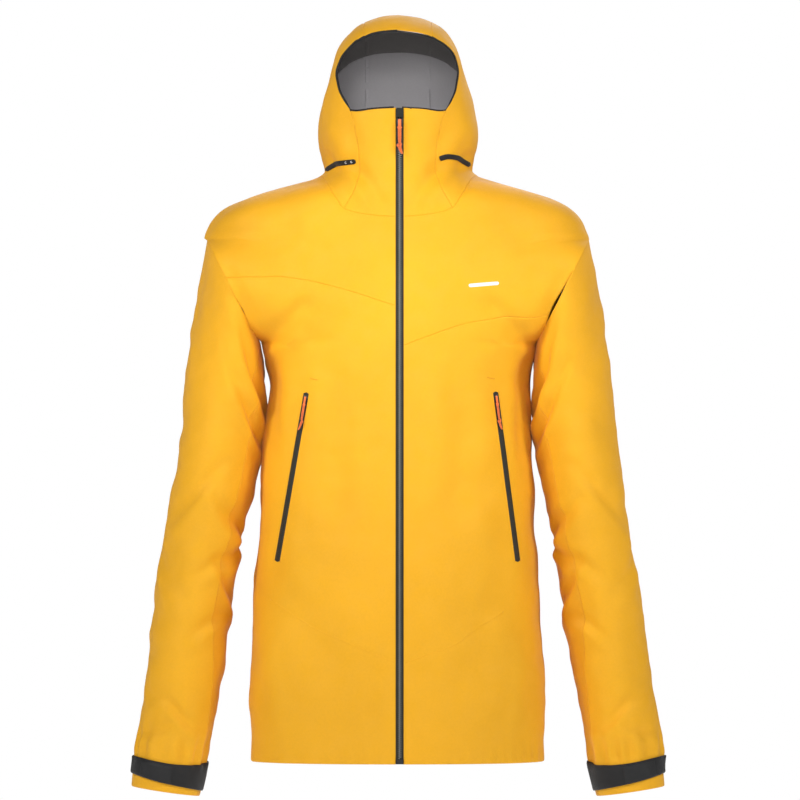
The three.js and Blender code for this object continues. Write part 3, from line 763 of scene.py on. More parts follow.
# ---- pieces: hood ---------------------------------------------------------------------------
COLLAR_SEAM = [(-60, 68), (-42, 64), (-12, 48), (14, 46), (50, 51), (75, 57)]


def hood_front_x(z):
    """Where the hood's front edge is: the collar seam, then the face opening."""
    return np.where(z < 75, through(COLLAR_SEAM, z), through(FACE_SIDE, z))


def hood_side_grids(side, lift=0.0, lip=LIP):
    """The collar block beside the zip and the block from it round to the centre panel."""
    us, u_lift = spread(56, lip, lip)
    vs, v_lift = spread(122, lip, HEM_LIP if lip else None)
    edge = zip_edge(side)
    low, high = through(NECK_SEAM, edge + (64 - edge) * us), through(CHIN_EDGE,
                                                                    edge + (57 - edge) * us)
    z = low[None, :] + (high - low)[None, :] * vs[:, None]
    x = edge + (through(COLLAR_SEAM, z) - edge) * us[None, :]
    collar = cloth_at(side * theta_at(x, z), z, panel_lifts(u_lift, v_lift) + lift)

    us, u_lift = spread(230, lip, SOFT_LIP if lip else None)
    vs, v_lift = spread(215, lip, None)
    tops = np.linspace(170, CROWN_Z, 4000)
    top = tops[form(tops)[0] > CENTRE_PANEL + 0.01][-1]

    def theta_of(z):
        front = theta_at(hood_front_x(z), z)
        back = math.pi - theta_at(CENTRE_PANEL, z)
        return front + (back - front) * us
    foot = solve_height(NECK_SEAM, theta_of, -60, 60, us.shape)
    foot = np.where(us > 0.55, NECK_Z, foot)
    z = foot[None, :] + (top - foot)[None, :] * vs[:, None]
    flank = cloth_at(side * theta_of(z), z, panel_lifts(u_lift, v_lift) + lift)
    return [collar, flank]


def crown_profile(x):
    """Angle and height over the crown at one distance from the middle: rim, top, nape."""
    rim = float(through(FACE_TOP, abs(x)))
    tops = np.linspace(rim, CROWN_Z, 4000)
    half = form(tops)[0]
    peak = tops[half > abs(x) + 1e-6][-1]
    rise = rim + (peak - rim) * np.sin(np.linspace(0, math.pi / 2, 120))
    fall = NECK_Z + (peak - NECK_Z) * np.sin(np.linspace(math.pi / 2, 0, 240))
    z = np.concatenate([rise, fall[1:]])
    theta = np.concatenate([theta_at(abs(x), rise), math.pi - theta_at(abs(x), fall)[1:]])
    theta = theta * (np.sign(x) or 1)
    run = np.concatenate([[0], np.cumsum(np.linalg.norm(np.diff(on_form(theta, z), axis=0),
                                                        axis=1))])
    share = run / run[-1]
    return lambda s: (np.interp(s, share, theta), np.interp(s, share, z))


def hood_centre_grid(lift=0.0, lip=LIP):
    side_lip = SOFT_LIP if lip else None
    us, u_lift = spread(2 * CENTRE_PANEL, side_lip, side_lip)
    vs, v_lift = spread(420, HEM_LIP if lip else None, lip)
    points = np.zeros((len(vs), len(us), 3))
    for j, share in enumerate(us):
        theta, z = crown_profile(CENTRE_PANEL * (2 * share - 1))(vs)
        points[:, j] = on_form(theta, z)
    normal = grid_normals(points)
    lifts = panel_lifts(u_lift, v_lift) + lift + body_folds(points)
    return points + normal * lifts[..., None]


def build_hood():
    for name, side in SIDES:
        grids = hood_side_grids(side)
        cloth = shell_piece(f"hood_side_cloth_{name}", grids,
                            [f"hood_panel_{name}", f"collar_{name}"],
                            () if side > 0 else (0, 1), None)
        hood_blend(cloth)
    centre = shell_piece("hood_centre_cloth", [hood_centre_grid()], ["hood_centre_panel"], (), None)
    hood_blend(centre)
    build_hood_lining()
    build_face_edge()
    build_hood_adjusters()


HOOD_BEND_FOOT = (0.0, 90.0, NECK_Z)


def hood_blend(obj):
    """The hood bends over the slope from the chin to the nape."""
    start = placed(HOOD_BEND_FOOT)
    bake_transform(obj)


LINING_INSET = -2.4
FACING_PLANE = ((0.0, 100.0, 152.0), (0, -0.5, 1))


def build_hood_lining():
    parts = {}
    grids = [g for _, side in SIDES for g in hood_side_grids(side, LINING_INSET, None)]
    centre = hood_centre_grid(LINING_INSET, None)
    for key in ("facing", "lining"):
        bm = bmesh.new()
        for i, grid in enumerate(grids):
            add_grid(bm, grid, flip=i > 1)
        add_grid(bm, centre)
        bmesh.ops.remove_doubles(bm, verts=bm.verts, dist=0.0004)
        geom = bm.verts[:] + bm.edges[:] + bm.faces[:]
        bmesh.ops.bisect_plane(bm, geom=geom, plane_co=placed(FACING_PLANE[0]),
                               plane_no=FACING_PLANE[1], dist=1e-6,
                               clear_inner=key == "facing", clear_outer=key == "lining")
        parts[key] = finish_mesh(f"hood_{key}_cloth", bm, material(key))
        thicken(parts[key], 0.0005)
    stands_for(parts["facing"], None, ["hood_facing"])
    stands_for(parts["lining"], None,
               ["hood_lining", "collar_lining_left", "collar_lining_right"])
    hood_blend(parts["facing"])
    hood_blend(parts["lining"])


def face_outline():
    """The face opening's edge on one side, from the chin's middle to the crown's."""
    low = [(5, 78), (30, 76.5), (50, 74.4), (57, 75)]
    high = [(x, z) for z, x in FACE_SIDE[1:]] + [(30, 167), (15, 170), (0, 171)]
    return low + high


def build_face_edge():
    """The bound edge that runs round the face opening."""
    bm = bmesh.new()
    for _, side in SIDES:
        line = [(side * x, z) for x, z in face_outline()]
        add_grid(bm, strip_grid(line, 2.4, [(-1, -1.9), (-1, -0.7), (0, -0.45), (1, -0.7),
                                            (1, -1.9)], step=1.6), flip=side > 0)
    edge = finish_mesh("face_opening_binding", bm, material("dark"), merge=0.0004)
    thicken(edge, 0.0003)
    stands_for(edge, None, [])
    hood_blend(edge)


STRIPS = {1: [(50, 17), (60, 20), (70, 19), (86, 11)], -1: [(-50, 14), (-73, 12), (-86, 5)]}


def build_hood_adjusters():
    for name, side in SIDES:
        strip = strip_piece(f"hood_adjuster_strip_{name}", [STRIPS[side]], 6.0, FLAT_TOP,
                            material("dark"), None, "dark_fabric", [f"hood_adjuster_{name}"],
                            round_ends=3.0 if side < 0 else 0.8, step=1.0, raise_by=0.3)
        hood_blend(strip)
        if side < 0:
            spots = [(-54, 13.9), (-60, 13.4)]
            bm = bmesh.new()
            for x, z in spots:
                add_ring(bm, front_surface(np.array([x]), np.array([z]), 1.35)[0], 1.0, 0.35)
            eyelets = finish_mesh("hood_adjuster_eyelets", bm, material("eyelet"))
            stands_for(eyelets, None, [])
            hood_blend(eyelets)
    backing = strip_piece("hood_rear_patch", [[(0, 88), (0, 38)]], 20, FLAT_TOP,
                          material("dark"), None, "dark_fabric", ["hood_rear_adjuster"],
                          surface=back_surface, round_ends=4.0, step=1.5)
    hood_blend(backing)
    strap = strip_piece("hood_rear_strap", [[(0, 84), (0, 30)]], 9, FLAT_TOP, material("tape"),
                        None, "dark_fabric", surface=back_surface, round_ends=1.5, step=1.5,
                        raise_by=1.1)
    hood_blend(strap)
    bm = bmesh.new()
    for z in (70.0, 62.0, 54.0):
        bar = strip_grid([(-8, z), (8, z)], 3.4, [(-1, 0.4), (-0.7, 1.6), (0, 2.0), (0.7, 1.6),
                                                  (1, 0.4)], surface=back_surface,
                         round_ends=1.6, step=0.8, raise_by=1.0)
        add_grid(bm, bar)
    ladder = outward(finish_mesh("hood_rear_ladder", bm, material("plastic")))
    thicken(ladder, 0.0004)
    stands_for(ladder, None, [])
    hood_blend(ladder)


# ---- small hard shapes --------------------------------------------------------------------------
def added(bm, make):
    """The vertices that a step adds."""
    before = set(bm.verts)
    make()
    return [v for v in bm.verts if v not in before]


def add_ring(bm, centre, major, minor):
    """A small ring that faces the front, by spinning a circle."""
    upright = Matrix.Rotation(math.pi / 2, 3, "X")
    made = bmesh.ops.create_circle(bm, segments=8, radius=minor * MM)["verts"]
    set_down(bm, made, (major * MM, 0, 0), upright)
    edges = list({e for v in made for e in v.link_edges})

    def spin():
        bmesh.ops.spin(bm, geom=made + edges, cent=(0, 0, 0), axis=(0, 0, 1), steps=20,
                       angle=2 * math.pi, use_merge=True)
    ring = list(set(made + added(bm, spin)))
    ring = [v for v in ring if v.is_valid]
    set_down(bm, ring, tuple(placed(centre)), upright)
    faces = list({f for v in ring for f in v.link_faces})
    bmesh.ops.recalc_face_normals(bm, faces=faces)


def rounded(bm, made, edge):
    """Bevels every edge of a new shape, and gives all its vertices."""
    edges = list({e for v in made for e in v.link_edges})

    def round_off():
        bmesh.ops.bevel(bm, geom=edges, offset=edge * MM, segments=2, profile=0.5,
                        affect="EDGES", material=-1)
    more = added(bm, round_off)
    return [v for v in made + more if v.is_valid]


def set_down(bm, verts, where, *turns):
    """Turns vertices about the origin, one turn after another, and moves them."""
    for turn in turns:
        bmesh.ops.rotate(bm, verts=verts, cent=(0, 0, 0), matrix=turn)
    bmesh.ops.translate(bm, verts=verts, vec=where)


def add_plate(bm, outline, depth, edge):
    """A flat outline of (x, z) in mm, extruded to the front by depth and rounded."""
    def make():
        verts = [bm.verts.new((x * MM, 0, z * MM)) for x, z in outline]
        face = bm.faces.new(verts)
        out = bmesh.ops.extrude_face_region(bm, geom=[face])["geom"]
        moved = [g for g in out if isinstance(g, bmesh.types.BMVert)]
        bmesh.ops.translate(bm, verts=moved, vec=(0, -depth * MM, 0))
    made = added(bm, make)
    faces = list({f for v in made for f in v.link_faces})
    bmesh.ops.recalc_face_normals(bm, faces=faces)
    return rounded(bm, made, edge)


def add_bar(bm, size, centre, edge):
    """A rounded block of (x, y, z) sizes about a centre, in mm, before it is placed."""
    made = bmesh.ops.create_cube(bm, size=MM)["verts"]
    bmesh.ops.scale(bm, verts=made, vec=size)
    bmesh.ops.translate(bm, verts=made, vec=[c * MM for c in centre])
    return rounded(bm, made, edge)


def tube(name, path, radius, mat, resolution=4):
    """A round tube through points in mm about the body's middle."""
    curve = bpy.data.curves.new(name, "CURVE")
    curve.dimensions = "3D"
    curve.bevel_depth = radius * MM
    curve.bevel_resolution = resolution
    curve.use_fill_caps = True
    spline = curve.splines.new("NURBS")
    where = placed(np.array(path, float))
    spline.points.add(len(where) - 1)
    for point, co in zip(spline.points, where):
        point.co = (*co, 1.0)
    spline.use_endpoint_u = True
    spline.order_u = 3
    spline.resolution_u = 6
    holder = bpy.data.objects.new(name, curve)
    bpy.context.scene.collection.objects.link(holder)
    bpy.context.view_layer.update()
    mesh = bpy.data.meshes.new_from_object(holder)
    bpy.data.objects.remove(holder)
    mesh.materials.clear()
    mesh.materials.append(mat)
    mesh.shade_smooth()
    obj = bpy.data.objects.new(name, mesh)
    bpy.context.scene.collection.objects.link(obj)
    return obj


# ---- main zip ------------------------------------------------------------------------------------
ZIP_FOOT = HEM_Z + 6
GARAGE_Z = 66.0
SLIDER_Z = 59.0
ZIP_LEAN = math.atan((FRONT_HEM - FRONT_CHIN) / (CHIN_Z - HEM_Z))
MAIN_PULL_TOP = (ZIP_X, NAPE_Y - 197.841, 63.0)
# half of the tape: away from the middle, and out from the cloth
TAPE_ACROSS = np.array([0.2, 0.8, 1.6, 3.0, 4.0, 5.0, 8.0, 11.0, 14.0])
TAPE_HEIGHT = np.array([-0.5, -0.35, -0.45, -0.75, -0.85, -0.9, -1.4, -1.6, -1.8])


def on_zip(x, z, out):
    """A point beside the zip's line: x across, z up, out in front of the cloth."""
    z = np.asarray(z, float)
    return np.stack(np.broadcast_arrays(ZIP_X + x, -front_line(z) - out, z), -1)


def build_main_zip():
    for name, side in SIDES:
        z = np.linspace(HEM_Z + 0.5, CHIN_Z - 1, 200)
        grid = on_zip(side * TAPE_ACROSS[None, :], z[:, None], TAPE_HEIGHT[None, :])
        tape = cloth_piece(f"zip_tape_cloth_{name}", [grid], "tape", 0.0008,
                           flips=() if side > 0 else (0,))
        stands_for(tape, "shell", [f"zip_tape_{name}"])
        build_teeth(name, side)
    build_zip_ends()
    build_main_slider()


def zip_turn():
    """The lean of the front, for what is set down on the zip."""
    return Matrix.Rotation(-ZIP_LEAN, 3, "X")


def build_teeth(name, side):
    pitch = sizes().tooth_pitch / MM
    tooth = bmesh.new()
    add_bar(tooth, (1.5, 1.5, 1.0), (side * 1.35, 0.0, 0.0), 0.25)
    add_bar(tooth, (1.2, 1.0, 0.7), (side * 0.2, 0.0, 0.0), 0.18)
    single = bpy.data.meshes.new("tooth")
    tooth.to_mesh(single)
    tooth.free()
    bm = bmesh.new()
    start = ZIP_FOOT + 1.5 + (pitch / 2 if side > 0 else 0)
    for z in np.arange(start, GARAGE_Z - 1, pitch):
        def copy():
            bm.from_mesh(single)
        made = added(bm, copy)
        set_down(bm, made, tuple(placed(on_zip(0.0, z, 0.1))), zip_turn())
    bpy.data.meshes.remove(single)
    teeth = finish_mesh(f"zip_teeth_row_{name}", bm, material("teeth"), merge=0)
    stands_for(teeth, "shell", [f"zip_teeth_{name}"])


def zip_fitting(name, outline, depth, z, out, mat, nodes, edge=0.4):
    bm = bmesh.new()
    made = add_plate(bm, outline, depth, edge)
    set_down(bm, made, tuple(placed(on_zip(0.0, z, out))), zip_turn())
    stands_for(finish_mesh(name, bm, mat), "shell", nodes)


def build_zip_ends():
    cap = [(-4.4, 0), (4.4, 0), (4.6, 8), (3.4, 11.4), (-3.4, 11.4), (-4.6, 8)]
    zip_fitting("zip_garage_cap", cap, 2.0, GARAGE_Z, -0.9, material("tape"), ["zip_garage"],
                edge=0.5)
    box = [(-4.2, 0), (4.2, 0), (4.2, 6), (-4.2, 6)]
    zip_fitting("zip_retaining_block", box, 2.4, HEM_Z + 0.2, -1.2, material("plastic"),
                ["zip_retaining_box"])


def build_main_slider():
    wings = [(-2.9, -6), (2.9, -6), (4.1, 0.8), (3.3, 5.2), (1.4, 6.0), (-1.4, 6.0), (-3.3, 5.2),
             (-4.1, 0.8)]
    bm = bmesh.new()
    made = add_plate(bm, wings, 1.7, 0.45)
    made += add_bar(bm, (2.4, 1.9, 7.4), (0, -2.6, 0), 0.6)
    made += add_bar(bm, (1.2, 1.2, 9.6), (0, -1.9, 0), 0.4)
    set_down(bm, made, tuple(placed(on_zip(0.0, SLIDER_Z, 0.5))), zip_turn())
    slider = finish_mesh("main_slider_body", bm, material("slider"))
    stands_for(slider, "main_slider", ["main_slider"])
    build_pull("main", "main_pull", MAIN_PULL_TOP, Matrix.Identity(3), 1.3, 1.0, 1)


def build_pull(name, body, top, turn, wide, long, lean):
    """A cord pull: a painted bar with a flange, a flat cord, an end knot and its tail."""
    base = Vector(placed(np.array(top, float)))
    bm = bmesh.new()
    made = add_bar(bm, (2.9 * wide, 1.4, 9.5 * long), (0, 0, -3.8 * long), 0.5)
    made += add_bar(bm, (4.3 * wide, 1.7, 2.0 * long), (0, 0, -9.0 * long), 0.6)
    made += add_bar(bm, (3.2 * wide, 2.0, 1.5 * long), (0, 0, -10.8 * long), 0.5)
    set_down(bm, made, base, turn)
    bar = finish_mesh(f"{name}_pull_bar", bm, material("cord_end"))
    stands_for(bar, body, [body])

    def at(points):
        out = []
        for x, y, z in points:
            p = turn @ Vector((x * wide, y, z * long))
            out.append((top[0] + p.x, top[1] + p.y, top[2] + p.z))
        return out
    strands = [
        [(-0.75, 0, -10.5), (-0.85, -0.1, -16), (-0.8, 0, -22), (-0.4, -0.2, -27.5)],
        [(0.75, 0, -10.5), (0.85, 0.1, -16), (0.8, 0, -22), (0.4, 0.2, -27.5)],
    ]
    knot = [(-0.4, 0, -26.6), (1.5, -1.0, -27.8), (1.2, -1.5, -31.0), (-1.8 * lean, -1.2, -31.6),
            (-2.3 * lean, 0.2, -29.2), (0.6, 0.9, -28.6), (0.9 * lean, 0.3, -31.8),
            (1.3 * lean, 0, -35.5), (2.4 * lean, -0.2, -40.5)]
    tail = [(-0.2, 0.6, -28.5), (-1.3 * lean, -0.6, -31.2), (-0.2 * lean, 0.2, -34.5),
            (1.4 * lean, 0.2, -39.0)]
    for i, path in enumerate([*strands, knot, tail]):
        cord = tube(f"{name}_pull_cord_{i}", at(path), 0.85 * max(wide, 0.9), material("cord"))
        stands_for(cord, body, [])


# ---- pocket zips -----------------------------------------------------------------------------
SLIDER_INSET = 0.0008
PULL_TOPS = {1: (119.355, -170.289, -265.93), -1: (-112.448, -175.194, -266.883)}


def build_pocket_zips():
    for name, side in SIDES:
        line = list(POCKETS[side])
        welt = [(-1, -0.7), (-1, 0.25), (-0.84, 0.5), (-0.72, 0.3), (-0.68, -0.5)]
        far = [(-s, h) for s, h in reversed(welt)]
        bm = bmesh.new()
        for half in (welt, far):
            add_grid(bm, strip_grid(line, 8.6, half, step=2.5))
        lips = outward(finish_mesh(f"pocket_welt_{name}", bm, material("shell")))
        thicken(lips, 0.0003)
        stands_for(lips, "shell", [])
        tape = [(-1, 0.05), (-0.5, 0.12), (-0.3, 0.2), (-0.16, 0.45), (-0.05, 0.4), (0, 0.25),
                (0.05, 0.4), (0.16, 0.45), (0.3, 0.2), (0.5, 0.12), (1, 0.05)]
        strip_piece(f"pocket_zip_cloth_{name}", [line], 6.4, tape, material("pocket_tape"),
                    "shell", "zip_tape", [f"pocket_zip_{name}"], round_ends=1.4, step=1.5,
                    raise_by=0.25)
        build_pocket_slider(name, side)


def build_pocket_slider(name, side):
    lo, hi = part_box(f"pocket_slider_{name}")
    (tx, tz), (fx, fz) = POCKETS[side]
    tilt = -math.atan2(fx - tx, tz - fz)
    top = PULL_TOPS[side]
    facing = math.atan2(-top[0] * 0.62, -(top[1] + NAPE_Y)) * -0.55
    bm = bmesh.new()
    wings = [(-1.9, -4.4), (1.9, -4.4), (2.6, 0.4), (1.9, 4.2), (-1.9, 4.2), (-2.6, 0.4)]
    made = add_plate(bm, wings, 1.3, 0.35)
    made += add_bar(bm, (1.5, 1.7, 5.4), (0, -1.9, 0), 0.45)
    lean, face = Matrix.Rotation(tilt, 3, "Y"), Matrix.Rotation(facing, 3, "Z")
    set_down(bm, made, (lo + hi) / 2 + Vector((0, SLIDER_INSET, 0)), lean, face)
    slider = finish_mesh(f"pocket_slider_body_{name}", bm, material("slider"))
    stands_for(slider, f"pocket_slider_{name}", [f"pocket_slider_{name}"])
    centre = (top[0] - side * 1.9, top[1] + NAPE_Y - 0.8, top[2])
    build_pull(f"pocket_{name}", f"pocket_pull_{name}", centre, face @ lean, 0.85, 0.98, side)


# ---- pieces: sleeves ---------------------------------------------------------------------------
# height of the outer edge, outer x, inner x, inner height, half depth, under-panel share
SLEEVE = [
    (SHOULDER_Z, SHOULDER_X, ARMPIT_X, ARMPIT_Z, ARMHOLE_DEPTH, 0.02),
    (-125, 238, 160, -240, 90, 0.10),
    (-180, 247, 159, -278, 83, 0.12),
    (-245, 256, 162, -315, 76, 0.14),
    (-330, 266, 169, -355, 70, 0.16),
    (-420, 278, 185, -436, 63, 0.19),
    (-505, 290, 199, -520, 57, 0.22),
    (-600, 303, 212, -613, 52, 0.12),
    (-690, 316, 228, -703, 48, 0.05),
    (-733, 320, 238, -745, 46, 0.04),
]
SLEEVE_FOOT = SLEEVE[-1][0]
SLEEVE_MIDDLE = 250
SLEEVE_BEND = 130
CUFF_MIDDLE = 279


def sleeve_column(index, v):
    """One of the sleeve's sizes as a smooth function of how far down it is, 0 to 1."""
    knots = [((SHOULDER_Z - row[0]) / (SHOULDER_Z - SLEEVE_FOOT), row[index]) for row in SLEEVE]
    return through(knots, v)


def on_sleeve(phi, v):
    """phi is 0 on the outer edge and a half turn at the inner edge; the front is under a half."""
    oz = SHOULDER_Z + (SLEEVE_FOOT - SHOULDER_Z) * v
    ox, ix, iz, depth = (sleeve_column(i, v) for i in (1, 2, 3, 4))
    c, s = np.cos(phi), np.sin(phi)
    x = (ox + ix) / 2 + (ox - ix) / 2 * c
    z = (oz + iz) / 2 + (oz - iz) / 2 * c
    _, front, back, _ = form(z)
    fuller = 1 + (back / front - 1) * (s < 0) * (1 - ramp(v, 0, 0.25))
    return np.stack(np.broadcast_arrays(x, -depth * fuller * s, z), -1)


# turn around the sleeve, place down it, length, slope, width, depth
SLEEVE_FOLDS = [
    (2.6, 0.50, 1.3, 0.05, 0.016, 2.6), (2.4, 0.56, 1.2, -0.04, 0.014, 2.2),
    (2.7, 0.62, 1.0, 0.07, 0.015, 2.0), (2.2, 0.68, 0.9, -0.05, 0.012, 1.5),
    (1.2, 0.45, 1.0, -0.09, 0.018, 1.3), (0.6, 0.60, 1.1, 0.06, 0.020, 1.2),
    (1.5, 0.85, 1.2, 0.03, 0.010, 1.4), (1.0, 0.89, 0.9, -0.03, 0.009, 1.2),
    (2.6, 0.13, 1.0, 0.12, 0.030, 3.0), (2.3, 0.22, 0.9, 0.10, 0.024, 2.0),
    (-2.6, 0.15, 1.0, 0.12, 0.030, 3.0), (-2.4, 0.52, 1.2, 0.05, 0.018, 2.2),
    (-2.1, 0.60, 1.0, -0.05, 0.016, 2.0), (-1.2, 0.70, 1.0, 0.06, 0.016, 1.4),
    (-0.8, 0.30, 1.0, 0.10, 0.030, 1.4), (-1.5, 0.86, 1.2, -0.03, 0.010, 1.5),
]


def sleeve_folds(points, phi, v, side):
    amount = sizes().fold
    lift = 2.2 * wander(points, 100, 5 + side, (1.0, 1.0, 0.6))
    lift += 1.2 * wander(points, 40, 8 + side, (0.8, 0.8, 1.1))
    lift += 0.4 * wander(points, 18, 9 + side, (0.8, 0.8, 1.2))
    for turn, place, reach, slope, width, depth in SLEEVE_FOLDS:
        away = (phi - turn + math.pi) % (2 * math.pi) - math.pi
        line = (v - place - slope * away + 0.006 * np.sin(away * 5 + place * 40)) / width
        lift -= depth * np.exp(-line**2) * np.exp(-(away / reach * 1.6) ** 2)
        lift += 0.6 * depth * np.exp(-((line - 1.9) ** 2)) * np.exp(-(away / reach * 1.6) ** 2)
    tucks = np.sin(phi * 13 + 1.4 * np.sin(phi * 3 + side)) * bump(v, 0.925, 0.03)
    lift += 0.9 * tucks
    hold = (1 - ramp(v, 0.93, 0.97)) * ramp(v, -0.02, 0.1)
    return amount * lift * hold


def sleeve_points(phi, v, side, lift):
    """Points on a sleeve's cloth, raised by lift."""
    def surface(p, q):
        points = on_sleeve(p, q)
        points[..., 0] *= side
        return points
    turn, down = 0.01, 0.004
    points = surface(phi, v)
    across = surface(phi + turn, v) - surface(phi - turn, v)
    up = surface(phi, np.clip(v - down, 0, 1)) - surface(phi, np.clip(v + down, 0, 1))
    normal = unit(np.cross(up, across) * side)
    total = sleeve_folds(points, phi, v, side) + lift
    return points + normal * total[..., None]


def sleeve_grid(side, part):
    around = 330 if part == "outer" else 90
    us, u_lift = spread(around, LIP, LIP)
    vs, v_lift = spread(655, LIP, HEM_LIP)
    v = vs[:, None]
    cut = np.arccos(np.clip(2 * sleeve_column(5, v) - 1, -1, 1))
    if part == "outer":
        phi = -cut + 2 * cut * us[None, :]
    else:
        phi = cut + (2 * math.pi - 2 * cut) * us[None, :]
    return sleeve_points(phi, v, side, panel_lifts(u_lift, v_lift))


def build_sleeves():
    for name, side in SIDES:
        flips = (0,) if side > 0 else ()
        for part, slot in (("outer", "shell_fabric"), ("under", "under_fabric")):
            grid = sleeve_grid(side, part)
            # The under panels are real pieces; their darker under colour is painted shade on the
            # inner side of the sleeve.
            key = "shell" if part == "outer" else "under"
            cloth = cloth_piece(f"sleeve_{part}_cloth_{name}", [grid], key, flips=flips)
            outward(cloth, side * SLEEVE_MIDDLE)
            stands_for(cloth, None, [f"sleeve_{part}_{name}"])
            sleeve_blend(cloth, side)
        build_cuff(name, side)


def sleeve_blend(obj, side):
    """The sleeve bends below the armhole."""
    seam = Vector((SHOULDER_X - ARMPIT_X, 0, SHOULDER_Z - ARMPIT_Z)).normalized()
    out = Vector((seam.z, 0, -seam.x))
    start = np.array([(SHOULDER_X + ARMPIT_X) / 2, 0.0, (SHOULDER_Z + ARMPIT_Z) / 2])
    end = start + np.array(out) * SLEEVE_BEND
    start[0] *= side
    end[0] *= side
    tuple(placed(start))
    tuple(placed(end))
    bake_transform(obj)


TAB_TOP = [(-0.35, 0.944), (0.4, 0.944), (1.57, 0.947), (2.5, 0.942), (3.3, 0.930)]
TAB_FOOT = [(-0.35, 0.974), (0.4, 0.976), (1.57, 0.984), (2.5, 0.988), (3.3, 0.990)]


def cuff_grid(side, start, end, heights, top_in=0.0, foot_in=0.0):
    """A patch on the cuff between two turns; heights are its rows' lifts above the cloth."""
    us = np.linspace(0, 1, 60)
    shares = np.array([0, 0.0, 0.06, 0.2, 0.5, 0.8, 0.94, 1.0, 1.0])
    lifts = np.array([0.2, 0.75, 1, 1, 1, 1, 1, 0.75, 0.2]) * heights
    phi = start + (end - start) * us
    top = through(TAB_TOP, phi) + top_in
    foot = through(TAB_FOOT, phi) - foot_in
    v = top[None, :] + (foot - top)[None, :] * shares[:, None]
    ends = np.minimum(1, np.minimum(us, 1 - us) / 0.012 + 0.35)
    return sleeve_points(phi[None, :], v, side, lifts[:, None] * ends[None, :])


def build_cuff(name, side):
    def cuff_cloth(piece, grid, key, depth):
        cloth = cloth_piece(f"{piece}_{name}", [grid], key, depth)
        return outward(cloth, side * CUFF_MIDDLE)
    hooks = cuff_cloth("cuff_patch_cloth", cuff_grid(side, 0.2, 2.55, 1.2, 0.004, 0.004),
                       "loop", 0.0004)
    stands_for(hooks, f"sleeve_{name}", [f"cuff_patch_{name}"])
    tab = cuff_cloth("cuff_tab_cloth", cuff_grid(side, -0.3, 3.1, 2.7), "dark", 0.001)
    stands_for(tab, None, [f"cuff_tab_{name}"])
    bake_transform(tab)
    face = cuff_cloth("cuff_tab_face", cuff_grid(side, 0.75, 1.7, 3.1, 0.0035), "tab_face",
                      0.0005)
    stands_for(face, f"cuff_tab_{name}", [])


# ---- pieces: hem and inside ------------------------------------------------------------------
CORD_INSET = 5.7
CORD_Z = HEM_Z + 14
CORD_START = 0.80
HEM_FACING_Z = -663.0
HEM_FACING_LIFT = -2.4
FLAP_ACROSS = (-24, 20)
FLAP_OUT = -5.0
BAG_SIDES = (26, 148)
BAG_LIFT = -4.2
# radius and height up the axis
LOCK_BARREL = [(0.0, 0.0), (5.2, 0.0), (5.8, 0.8), (5.8, 4.0), (5.2, 5.0), (5.2, 9.0),
               (5.9, 10.0), (5.9, 15.0), (5.4, 15.9), (4.0, 16.0), (4.0, 2.0), (0.0, 2.0)]
LOCK_PLUNGER = [(0.0, 0.0), (3.4, 0.0), (3.5, 0.3), (3.5, 11.0), (3.0, 11.9), (0.0, 12.0)]
BAG_TOP = {1: [(24, -250), (104, -240), (150, -330)], -1: [(22, -250), (100, -240), (150, -330)]}
BAG_FOOT = {1: [(29, -575), (67, -561), (91, -544), (123, -525), (150, -508)],
            -1: [(26, -573), (38, -568), (66, -556), (101, -541), (150, -510)]}


def build_inside():
    grids = [front_grid(side, HEM_Z + 1, HEM_FACING_Z, 40, None, None, HEM_FACING_LIFT)
             for _, side in SIDES]
    grids.append(back_grid(HEM_Z + 1, HEM_FACING_Z, 40, None, None, None, HEM_FACING_LIFT))
    inside_cloth("hem_facing", "", grids, "shell", 0.0005, (1,))

    x = np.linspace(*FLAP_ACROSS, 16)
    z = np.linspace(HEM_Z + 3, CHIN_Z - 3, 180)
    flap = on_zip(x[None, :], z[:, None], FLAP_OUT)
    inside_cloth("storm_flap", "", [flap], "lining", 0.0006, ())

    for name, side in SIDES:
        vs = np.linspace(0, 1, 70)
        x = BAG_SIDES[0] + (BAG_SIDES[1] - BAG_SIDES[0]) * np.linspace(0, 1, 34)
        top, foot = through(BAG_TOP[side], x), through(BAG_FOOT[side], x)
        z = foot[None, :] + (top - foot)[None, :] * vs[:, None]
        bag = front_surface(side * x[None, :], z, BAG_LIFT)
        inside_cloth("pocket_bag", f"_{name}", [bag], "lining", 0.0005,
                     () if side > 0 else (0,))
    build_hem_cord()
    build_hanger()


def inside_cloth(piece, ending, grids, key, depth, flips):
    """A cloth on the inside of the shell."""
    obj = cloth_piece(f"{piece}_cloth{ending}", grids, key, depth, flips)
    stands_for(obj, "shell", [piece + ending])


def build_hem_cord():
    """The cord from one lock round the sides and back to the other."""
    theta = np.linspace(CORD_START, 2 * math.pi - CORD_START, 90)
    z = np.full(theta.shape, CORD_Z)
    points = on_form(theta, z) - form_normal(theta, z) * CORD_INSET
    cord = tube("hem_drawcord_braid", points, 1.2, material("drawcord"), resolution=2)
    stands_for(cord, "shell", ["hem_drawcord"])
    for name, _ in SIDES:
        body, button = f"cord_lock_body_{name}", f"cord_lock_button_{name}"
        build_lock_piece(f"cord_lock_barrel_{name}", LOCK_BARREL, "plastic", "shell", body)
        build_lock_piece(f"cord_lock_plunger_{name}", LOCK_PLUNGER, "teeth", button, button)


